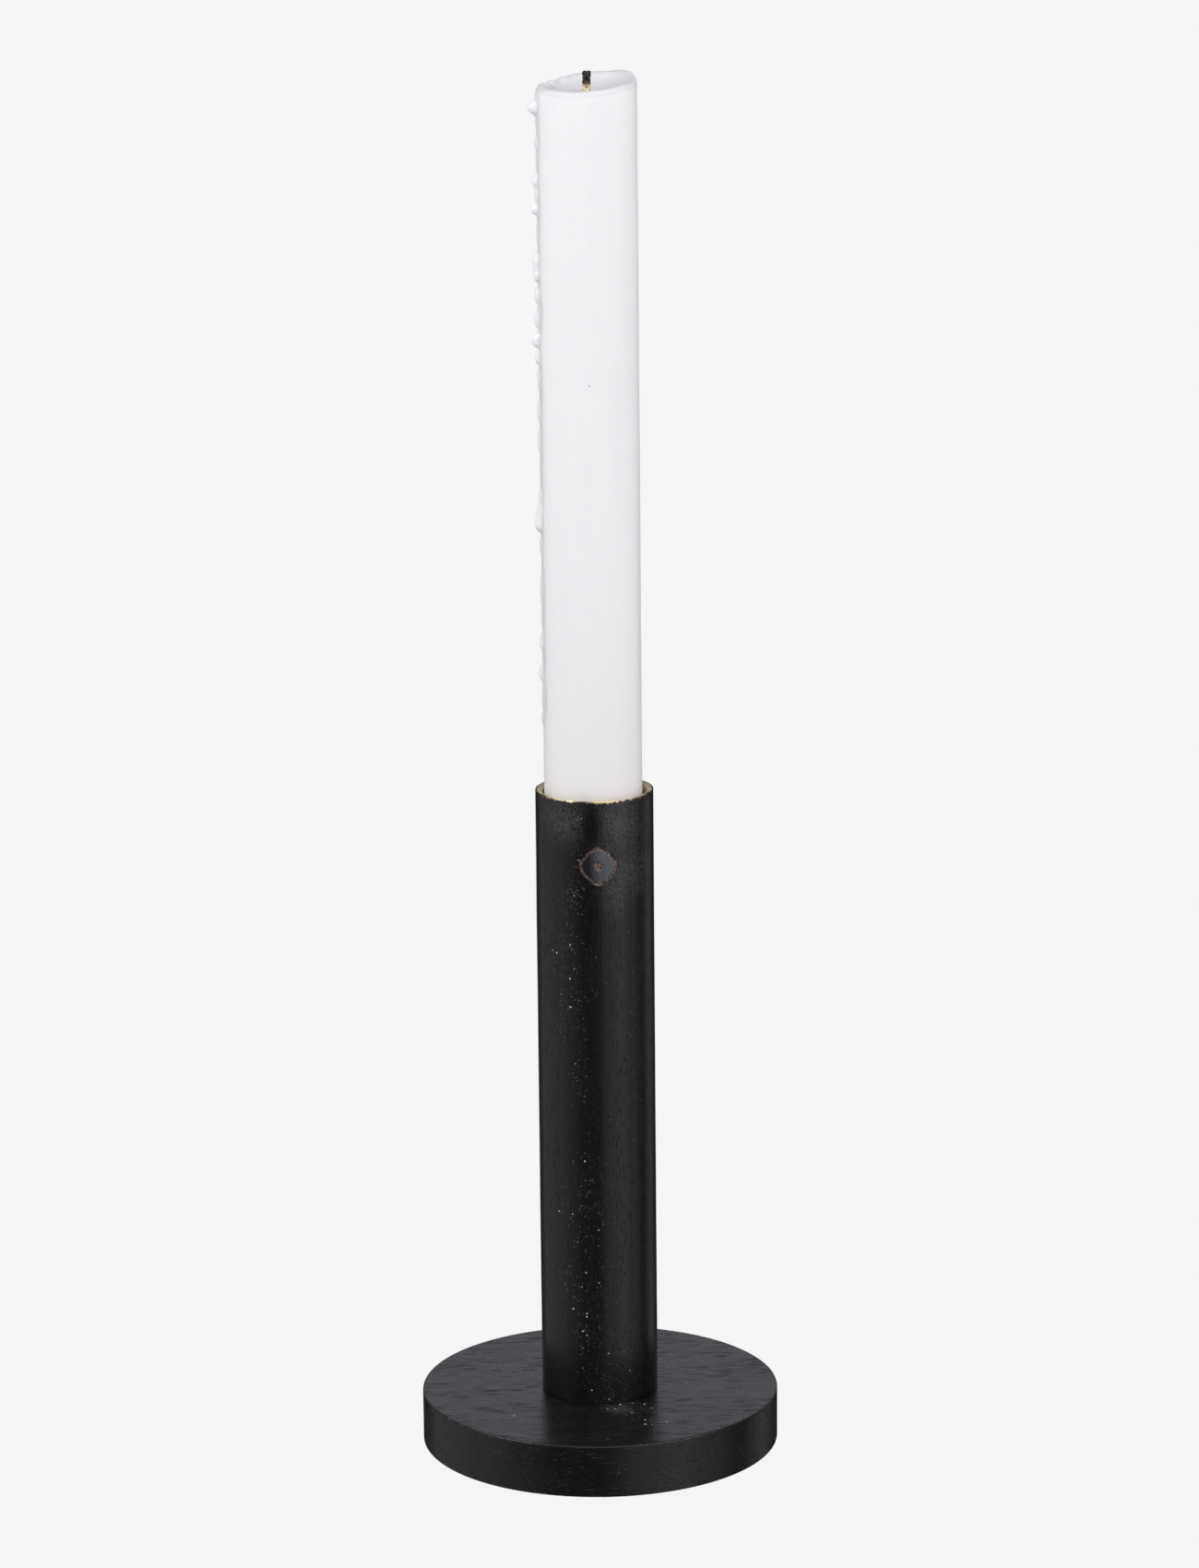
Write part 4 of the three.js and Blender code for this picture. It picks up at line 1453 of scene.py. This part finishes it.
def candle_profile():
    shoulder = eased(
        (CANDLE_RADIUS, LIP - LIP_ROUND), (CANDLE_RADIUS, LIP), (CANDLE_RADIUS - LIP_ROUND, LIP), 6
    )
    slope = eased(
        (CANDLE_RADIUS - LIP_ROUND, LIP), (POOL_RADIUS, LIP), (POOL_RADIUS - 0.6 * MM, LIP - 0.9 * MM), 6
    )
    pool = eased(slope[-1], (POOL_RADIUS - 2.2 * MM, LIP - POOL_DEPTH), (2.2 * MM, LIP - POOL_DEPTH), 8)
    collar = eased(
        pool[-1],
        (wick_hole + 0.25 * MM, LIP - POOL_DEPTH),
        (wick_hole, LIP - POOL_DEPTH + 0.3 * MM),
        4,
    )
    side = divided([(CANDLE_RADIUS, CANDLE_FOOT + FOOT_CHAMFER), (CANDLE_RADIUS, LIP - 8 * MM)], 2.4 * MM)
    near_lip = divided([side[-1], shoulder[0]], 0.35 * MM)
    return [
        (wick_hole, CANDLE_FOOT),
        (CANDLE_RADIUS - FOOT_CHAMFER, CANDLE_FOOT),
        *side,
        *near_lip[1:],
        *shoulder[1:],
        *slope[1:],
        *pool[1:],
        *collar[1:],
        *divided([collar[-1], (wick_hole, CANDLE_FOOT)], 8 * MM)[1:],
    ]


WAX = wax_finish(
    "candle wax",
    LIP - POOL_DEPTH,
    soot=[
        (Vector((3.9 * MM, -10.2 * MM, LIP - 1.35 * MM)), 0.34 * MM),
        (Vector((-0.2 * MM, -10.8 * MM, RIM + 91.3 * MM)), 0.22 * MM),
    ],
)
candle = turned(
    "candle_burnt", candle_profile(), WAX, 320, unevenness=0.1 * MM, waves=40, seed=6.0, closed=True
)

# %% Melt the lip
TILT_RIGHT = 0.75 * MM
TILT_BACK = 1.0 * MM
# Where the lip differs from an even slope: direction from +X, how much higher, and how far it reaches
LIP_FEATURES = [(33, 0.85, 24), (0, -0.5, 13), (128, -0.35, 16)]
LIP_FEATURES += [(150, -0.55, 10), (205, 0.25, 22), (300, -0.1, 25)]


def lip_rise(x, y):
    """How far the burnt lip stands above its average height in the direction of a point."""
    turn = math.degrees(math.atan2(y, x))
    rise = (TILT_RIGHT * x + TILT_BACK * y) / CANDLE_RADIUS
    rim_share = min(1.0, math.hypot(x, y) / CANDLE_RADIUS)
    for direction, higher, reach in LIP_FEATURES:
        away = (turn - direction + 180) % 360 - 180
        rise += higher * MM * math.exp(-((away / reach) ** 2)) * rim_share**6
    return rise


def lip_bites(x, y):
    """Small scallops at the back left, where wax spilled over a bit at a time."""
    turn = math.degrees(math.atan2(y, x)) % 360
    share = math.exp(-(((turn - 145) / 30) ** 2))
    return -0.55 * MM * share * (0.5 + 0.5 * math.sin(math.radians(turn * 17)))


def melt(piece):
    rows = corners(piece)
    burning = LIP - 7 * MM
    # The topmost band of the lip is stored so that the wax finish paints it darker: painted shade.
    lip_top_shade = np.clip((rows[:, 2] - LIP + 1.5 * MM) / (1.2 * MM), 0, 1)
    stored = piece.data.attributes.new("lip_top_shade", "FLOAT", "POINT")
    stored.data.foreach_set("value", lip_top_shade.astype(np.float32))
    for row in rows:
        if row[2] <= burning or math.hypot(row[0], row[1]) < wick_hole * 0.9:
            continue
        share = min(1.0, (row[2] - burning) / (5 * MM))
        edge = min(1.0, max(0.0, (math.hypot(row[0], row[1]) - POOL_RADIUS + 1 * MM) / MM))
        top = max(0.0, min(1.0, (row[2] - LIP + 1.6 * MM) / (1.2 * MM)))
        soft = 0.16 * MM * noise.noise(Vector((row[0], row[1], row[2] * 0.3)) * 320)
        row[2] += share * lip_rise(row[0], row[1]) + top * edge * (lip_bites(row[0], row[1]) + soft)
        bulge = 0.12 * MM * top * noise.noise(Vector(row) * 210)
        reach = math.hypot(row[0], row[1])
        row[:2] *= 1 + bulge / reach
    move_corners(piece, rows)


melt(candle)
candle.data.transform(Matrix.Translation(CANDLE_AXIS))
print("candle: highest", round(corners(candle)[:, 2].max() / MM, 1), "mm")

# %% [markdown]
# ## The wax that ran
#
# Molten wax spills over the low side of the lip, runs down in a thin film, and sets from the outside
# in. Each new spill stops a little further on and leaves a bead. The run is a skin whose thickness
# follows the beads: each bead is half an ellipsoid, a rounded maximum joins neighbours as surface
# tension does, and the edges of the film sink into the candle so that the two look fused.

# %% The beads, from the lip down
# Height above the rim, how far it stands out, half its height, half its width, and how far it sits
# towards the front of the run's middle, all in millimetres.
BEADS = [
    (152.6, 0.45, 1.6, 2.0, 0.3),
    (150.0, 2.1, 1.7, 1.8, 0.0),
    (147.3, 0.5, 2.0, 1.2, -0.2),
    (142.3, 0.7, 1.6, 1.3, 0.2),
    (138.5, 0.45, 3.0, 1.0, 0.0),
    (134.2, 1.35, 1.7, 1.5, 0.1),
    (131.4, 0.8, 2.2, 1.3, 0.3),
    (128.2, 1.7, 1.4, 1.3, -0.2),
    (123.0, 0.5, 3.4, 1.2, 0.2),
    (116.6, 1.4, 2.6, 1.6, 0.0),
    (113.9, 1.35, 1.5, 1.4, 0.4),
    (109.6, 1.15, 2.0, 1.5, 0.0),
    (104.6, 1.2, 2.3, 1.4, -0.2),
    (99.9, 1.75, 1.9, 1.5, 0.1),
    (96.0, 1.15, 1.7, 1.3, 0.2),
    (91.4, 0.65, 2.6, 1.2, 0.0),
    (84.1, 0.7, 3.0, 1.3, 0.2),
    (78.0, 0.7, 3.0, 1.2, 0.0),
    (71.9, 0.35, 3.0, 1.0, 0.2),
    (65.2, 0.75, 2.4, 1.2, 0.9),
    (61.6, 1.3, 3.0, 1.6, 0.8),
    (59.6, 1.65, 1.9, 1.7, 0.7),
    (54.6, 0.6, 2.2, 1.2, 0.1),
    (45.0, 0.55, 4.4, 1.2, 0.0),
    (38.6, 0.45, 2.4, 1.0, 0.2),
    (33.3, 0.8, 2.2, 1.3, 0.1),
    (26.4, 1.0, 2.2, 1.2, 0.0),
    (20.5, 0.45, 3.0, 1.1, 0.1),
    (16.0, 0.6, 1.9, 1.0, 0.0),
]
RUN_TURN = math.radians(186)
RUN_HALF_WIDTH = 4.6 * MM
RUN_TOP = RIM + 154.0 * MM
RUN_FOOT = RIM + 13.6 * MM
FILM = 0.30 * MM
SUNK = 0.16 * MM
STEP = 0.2 * MM


def run_thickness():
    """Thickness of the set wax over a grid of rows down the run and columns across it."""
    rows = round((RUN_TOP - RUN_FOOT) / STEP)
    columns = round(2 * RUN_HALF_WIDTH / STEP)
    level = np.linspace(RUN_TOP, RUN_FOOT, rows + 1)[:, None]
    across = np.linspace(-RUN_HALF_WIDTH, RUN_HALF_WIDTH, columns + 1)[None, :]
    wave = np.array([noise.noise(Vector((0, 0, z * 130))) for z in level[:, 0]])[:, None]
    edge = np.array([noise.noise(Vector((7, 0, z * 420))) for z in level[:, 0]])[:, None]
    half = (2.7 + 1.2 * wave + 0.5 * edge) * MM
    film = FILM * np.clip(1 - (np.abs(across) / half) ** 4, 0, 1) * (0.75 + 0.5 * wave)
    total = film**4
    for height, out, tall, wide, forward in BEADS:
        up = (level - RIM - height * MM) / (tall * MM)
        side = (across - forward * MM) / (wide * MM)
        total = total + (out * MM * np.sqrt(np.clip(1 - up**2 - side**2, 0, 1))) ** 4
    thick = total**0.25
    for _ in range(4):
        near = np.pad(thick, 1, mode="edge")
        around = near[:-2, 1:-1] + near[2:, 1:-1] + near[1:-1, :-2] + near[1:-1, 2:]
        thick = 0.5 * thick + 0.125 * around
    ends = np.clip(np.minimum(RUN_TOP - level, level - RUN_FOOT) / (0.8 * MM), 0, 1)
    thick = thick * np.sqrt(ends)
    thick[:, [0, -1]] = 0
    thick[[0, -1], :] = 0
    return level[:, 0], across[0], thick


def wax_skin(name):
    """A closed skin: the beaded outside, and an inside sunk into the candle."""
    levels, across, thick = run_thickness()
    high, wide = thick.shape
    turn = RUN_TURN + across / CANDLE_RADIUS
    points = []
    for reach in (CANDLE_RADIUS - SUNK + thick, np.full_like(thick, CANDLE_RADIUS - SUNK - 0.3 * MM)):
        x = CANDLE_AXIS.x + reach * np.cos(turn)[None, :]
        y = reach * np.sin(turn)[None, :]
        z = np.repeat(levels[:, None], wide, axis=1)
        points.append(np.stack([x, y, z], axis=2).reshape(-1, 3))
    inner = high * wide
    faces = []
    for i in range(high - 1):
        for j in range(wide - 1):
            a = i * wide + j
            faces.append((a, a + wide, a + wide + 1, a + 1))
            faces.append((inner + a, inner + a + 1, inner + a + wide + 1, inner + a + wide))
    border = [j for j in range(wide)] + [i * wide + wide - 1 for i in range(1, high)]
    border += [(high - 1) * wide + j for j in range(wide - 2, -1, -1)]
    border += [i * wide for i in range(high - 2, 0, -1)]
    for a, b in zip(border, border[1:] + border[:1]):
        faces.append((a, b, inner + b, inner + a))
    mesh = bpy.data.meshes.new(name)
    mesh.from_pydata(np.concatenate(points).tolist(), [], faces)
    mesh.shade_smooth()
    piece = bpy.data.objects.new(name, mesh)
    piece.data.materials.append(WAX)
    bpy.context.scene.collection.objects.link(piece)
    report(piece)
    return piece


wax_run = wax_skin("wax_run_set")

# %% [markdown]
# ## The wick
#
# A candle wick is braided cotton. Three strands wind one way and three the other, and they cross over
# each other as they go. A tree winds one strand round the axis, lets it weave in and out, and repeats
# it. The wick goes down through the whole candle, as the real one does, and its burnt tip is charred.

# %% Build the braid tree


def braid_tree():
    tree, given, result = geometry_tree(
        "Braided wick",
        {
            "Strands": ("NodeSocketInt", 3),
            "Radius": ("NodeSocketFloat", 0.6 * MM),
            "Strand Radius": ("NodeSocketFloat", 0.36 * MM),
            "Length": ("NodeSocketFloat", 170 * MM),
            "Pitch": ("NodeSocketFloat", 5.4 * MM),
            "Material": ("NodeSocketMaterial", None),
        },
    )
    length, radius = given.outputs["Length"], given.outputs["Radius"]
    turns = maths(tree, "DIVIDE", length, given.outputs["Pitch"])
    hands = place(tree, "GeometryNodeJoinGeometry")
    for hand, phase in ((1, 0.0), (-1, 0.5)):
        line = place(tree, "GeometryNodeCurvePrimitiveLine", {"Start": (0, 0, 0), "End": (0, 0, 1)})
        steps = maths(tree, "MULTIPLY", turns, 22)
        line = place(tree, "GeometryNodeResampleCurve", {0: line.outputs[0], "Count": steps}, mode="COUNT")
        along = place(tree, "GeometryNodeSplineParameter").outputs["Factor"]
        wound = maths(tree, "MULTIPLY", maths(tree, "MULTIPLY", along, turns), 2 * math.pi)
        angle = maths(tree, "MULTIPLY", wound, hand)
        crossings = maths(tree, "MULTIPLY", wound, given.outputs["Strands"])
        weave = maths(tree, "SINE", maths(tree, "ADD", crossings, phase * 2 * math.pi))
        swing = maths(tree, "ADD", maths(tree, "MULTIPLY", weave, 0.22), 1.0)
        reach = maths(tree, "MULTIPLY", radius, swing)
        bent = place(
            tree,
            "ShaderNodeCombineXYZ",
            {
                0: maths(tree, "MULTIPLY", reach, maths(tree, "COSINE", angle)),
                1: maths(tree, "MULTIPLY", reach, maths(tree, "SINE", angle)),
                2: maths(tree, "MULTIPLY", along, length),
            },
        )
        helix = place(tree, "GeometryNodeSetPosition", {0: line.outputs[0], "Position": bent.outputs[0]})
        section = place(
            tree,
            "GeometryNodeCurvePrimitiveCircle",
            {"Resolution": 6, "Radius": given.outputs["Strand Radius"]},
        )
        strand = place(
            tree, "GeometryNodeCurveToMesh", {0: helix.outputs[0], 1: section.outputs[0], "Fill Caps": True}
        )
        spots = place(tree, "GeometryNodePoints", {"Count": given.outputs["Strands"]})
        number = place(tree, "GeometryNodeInputIndex").outputs[0]
        share = maths(tree, "DIVIDE", maths(tree, "ADD", number, phase), given.outputs["Strands"])
        spun = place(tree, "ShaderNodeCombineXYZ", {2: maths(tree, "MULTIPLY", share, 2 * math.pi)})
        copies = place(
            tree,
            "GeometryNodeInstanceOnPoints",
            {0: spots.outputs[0], "Instance": strand.outputs[0], "Rotation": spun.outputs[0]},
        )
        tree.links.new(copies.outputs[0], hands.inputs[0])
    close_tree(tree, hands.outputs[0], given.outputs["Material"], result, smooth_below=1.2)
    return tree


# %% Braid it, char its tip and let it lean
POOL_LEVEL = LIP - POOL_DEPTH
WICK_FINISH = wick_finish(POOL_LEVEL + 2.05 * MM)
wick = run_tree(
    "wick_braided",
    bpy.data.meshes.new("nothing"),
    braid_tree(),
    {
        "Strands": 3,
        "Radius": 0.56 * MM,
        "Strand Radius": 0.34 * MM,
        "Length": WICK_TIP - WICK_FOOT,
        "Pitch": 5.4 * MM,
        "Material": WICK_FINISH,
    },
)
rows = corners(wick)
above = np.maximum(0, rows[:, 2] + WICK_FOOT - POOL_LEVEL - 1 * MM)
ragged = np.array([noise.noise(Vector(row) * 900) for row in rows])
rows[:, :2] *= (1 + 0.12 * np.minimum(1, above / MM) * ragged)[:, None]
rows[:, 0] += 0.006 * above**2 / MM
rows[:, 2] += WICK_FOOT
move_corners(wick, rows)
wick.data.transform(Matrix.Translation(CANDLE_AXIS))
report(wick)

# %% [markdown]
# ## Join each piece to its body
#
# Everything now gets its place in the mechanism. The candle, its wick and its run lift out together;
# all the rest stays. Each new piece hides the engineering piece it stands for, and the table beside it
# lists the finish of the record it wears.

# %% Ride and replace
PIECES = [
    (base, "candlestick", "base_disc", "black_wood"),
    (stem, "candlestick", "stem", "black_wood"),
    (cup, "candlestick", "candle_cup", "brass"),
    (cup_screw, "candlestick", "cup_screw", "brass"),
    (foot_screw, "candlestick", "foot_screw", "steel"),
    (washer, "candlestick", "foot_washer", "steel"),
    (felt, "candlestick", "felt_pad", "felt"),
    (candle, "loose_candle", "candle", "wax"),
    (wax_run, "loose_candle", "wax_run", "wax"),
    (wick, "loose_candle", "wick", "wick_cotton"),
]
for piece, body, node, slot in PIECES:
    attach(piece, body)
    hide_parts(node)

# %% [markdown]
# ## The studio
#
# A pale, even surround shows the black silhouette best. The table is one large sheet that the camera
# sees as the same pale grey as the sky behind it, so no horizon shows and no shadow falls. What the
# candlestick reflects is a different matter: a ring of soft strips with a gap in front, a low panel
# behind for the sheen on the disc, and three large soft lights from above for the wax.

# %% Surround and table
PALE = 0.9157
SKY_LIGHT = 0.03


def see_pale(tree, surface, output, kind):
    """Shows the camera an even pale grey, and gives every other ray the real surface."""
    seen = place(tree, "ShaderNodeLightPath").outputs["Is Camera Ray"]
    pale = place(tree, kind, {"Color": grey(PALE), "Strength": 1.0})
    chosen = place(tree, "ShaderNodeMixShader", {0: seen, 1: surface, 2: pale.outputs[0]})
    tree.links.new(chosen.outputs[0], output)


world = bpy.data.worlds.new("studio")
world.use_nodes = True
sky = world.node_tree.nodes["Background"]
sky.inputs["Color"].default_value = grey(1.0)
sky.inputs["Strength"].default_value = SKY_LIGHT
surround = world.node_tree.nodes["World Output"].inputs["Surface"]
see_pale(world.node_tree, sky.outputs[0], surround, "ShaderNodeBackground")
bpy.context.scene.world = world
bpy.context.scene.view_settings.view_transform = "Standard"

table_material, tree, shader, where = finish("pale table")
cloth = place(tree, "ShaderNodeTexNoise", {"Vector": where, "Scale": 8}).outputs[0]
feed(tree, shader, Base_Color=mix(tree, cloth, grey(0.62), grey(0.68)))
shader.inputs["Roughness"].default_value = 0.9
see_pale(tree, shader.outputs[0], tree.nodes["Material Output"].inputs["Surface"], "ShaderNodeEmission")

work = bmesh.new()
bmesh.ops.create_grid(work, x_segments=1, y_segments=1, size=6.0)
table_mesh = bpy.data.meshes.new("table")
work.to_mesh(table_mesh)
work.free()
table = bpy.data.objects.new("table", table_mesh)
table.data.materials.append(table_material)
table.location.z = -0.0002
bpy.context.scene.collection.objects.link(table)
for ray in ("visible_glossy", "visible_transmission", "visible_shadow"):
    setattr(table, ray, False)

# %% Soft boxes
AIM_HEIGHT = 0.16


def soft_box(name, direction, distance, elevation, size, watts, colour=(1, 1, 1), target=AIM_HEIGHT):
    """An area light. Direction 0 is the front and 90 the right, in degrees."""
    light = bpy.data.lights.new(name, "AREA")
    light.shape = "RECTANGLE"
    light.size, light.size_y = size
    light.energy = watts
    light.color = colour
    box = bpy.data.objects.new(name, light)
    turn, lift = math.radians(direction), math.radians(elevation)
    out = Vector((math.sin(turn) * math.cos(lift), -math.cos(turn) * math.cos(lift), math.sin(lift)))
    box.location = Vector((0, 0, target)) + distance * out
    box.rotation_euler = out.to_track_quat("Z", "Y").to_euler()
    box.visible_camera = False
    bpy.context.scene.collection.objects.link(box)
    return box


COOL = (0.96, 0.94, 1.0)
SLATE = (0.90, 0.89, 1.0)
STRIP_SPACING = 25
STRIP_SIZE = (0.39, 1.1)
STRIP_DISTANCE = 0.9
STRIP_TARGET = 0.03
# Upright strips stand round the table in two banks: (middle and spread in degrees, watts in the
# middle). The gap between them, in front, keeps the middle of the column dark, and the narrow,
# brighter bank at the right draws its highlight.
BANKS = [(-88, 50, 0.57), (48, 31, 1.0)]


def strip_watts(direction):
    """What both banks give a strip: each falls off steeply past its spread."""
    total = 0
    for middle, spread, watts in BANKS:
        total += watts * math.exp(-((abs(direction - middle) / spread) ** 2.5))
    return total


def strip(direction, watts):
    soft_box(f"strip {direction}", direction, STRIP_DISTANCE, 0, STRIP_SIZE, watts, COOL, STRIP_TARGET)


for direction in range(-125, 101, STRIP_SPACING):
    strip(direction, strip_watts(direction))
strip(125, 0.35)
soft_box("back panel", 180, 1.4, 14, (1.8, 0.35), 1.55, SLATE)
soft_box("high left", -70, 1.0, 42, (0.7, 0.5), 6.4)
soft_box("high right", 60, 1.0, 42, (0.7, 0.5), 5.2)
soft_box("over the camera", 0, 1.5, 36, (1.4, 0.8), 7.6)
print("lights:", len(bpy.data.lights))
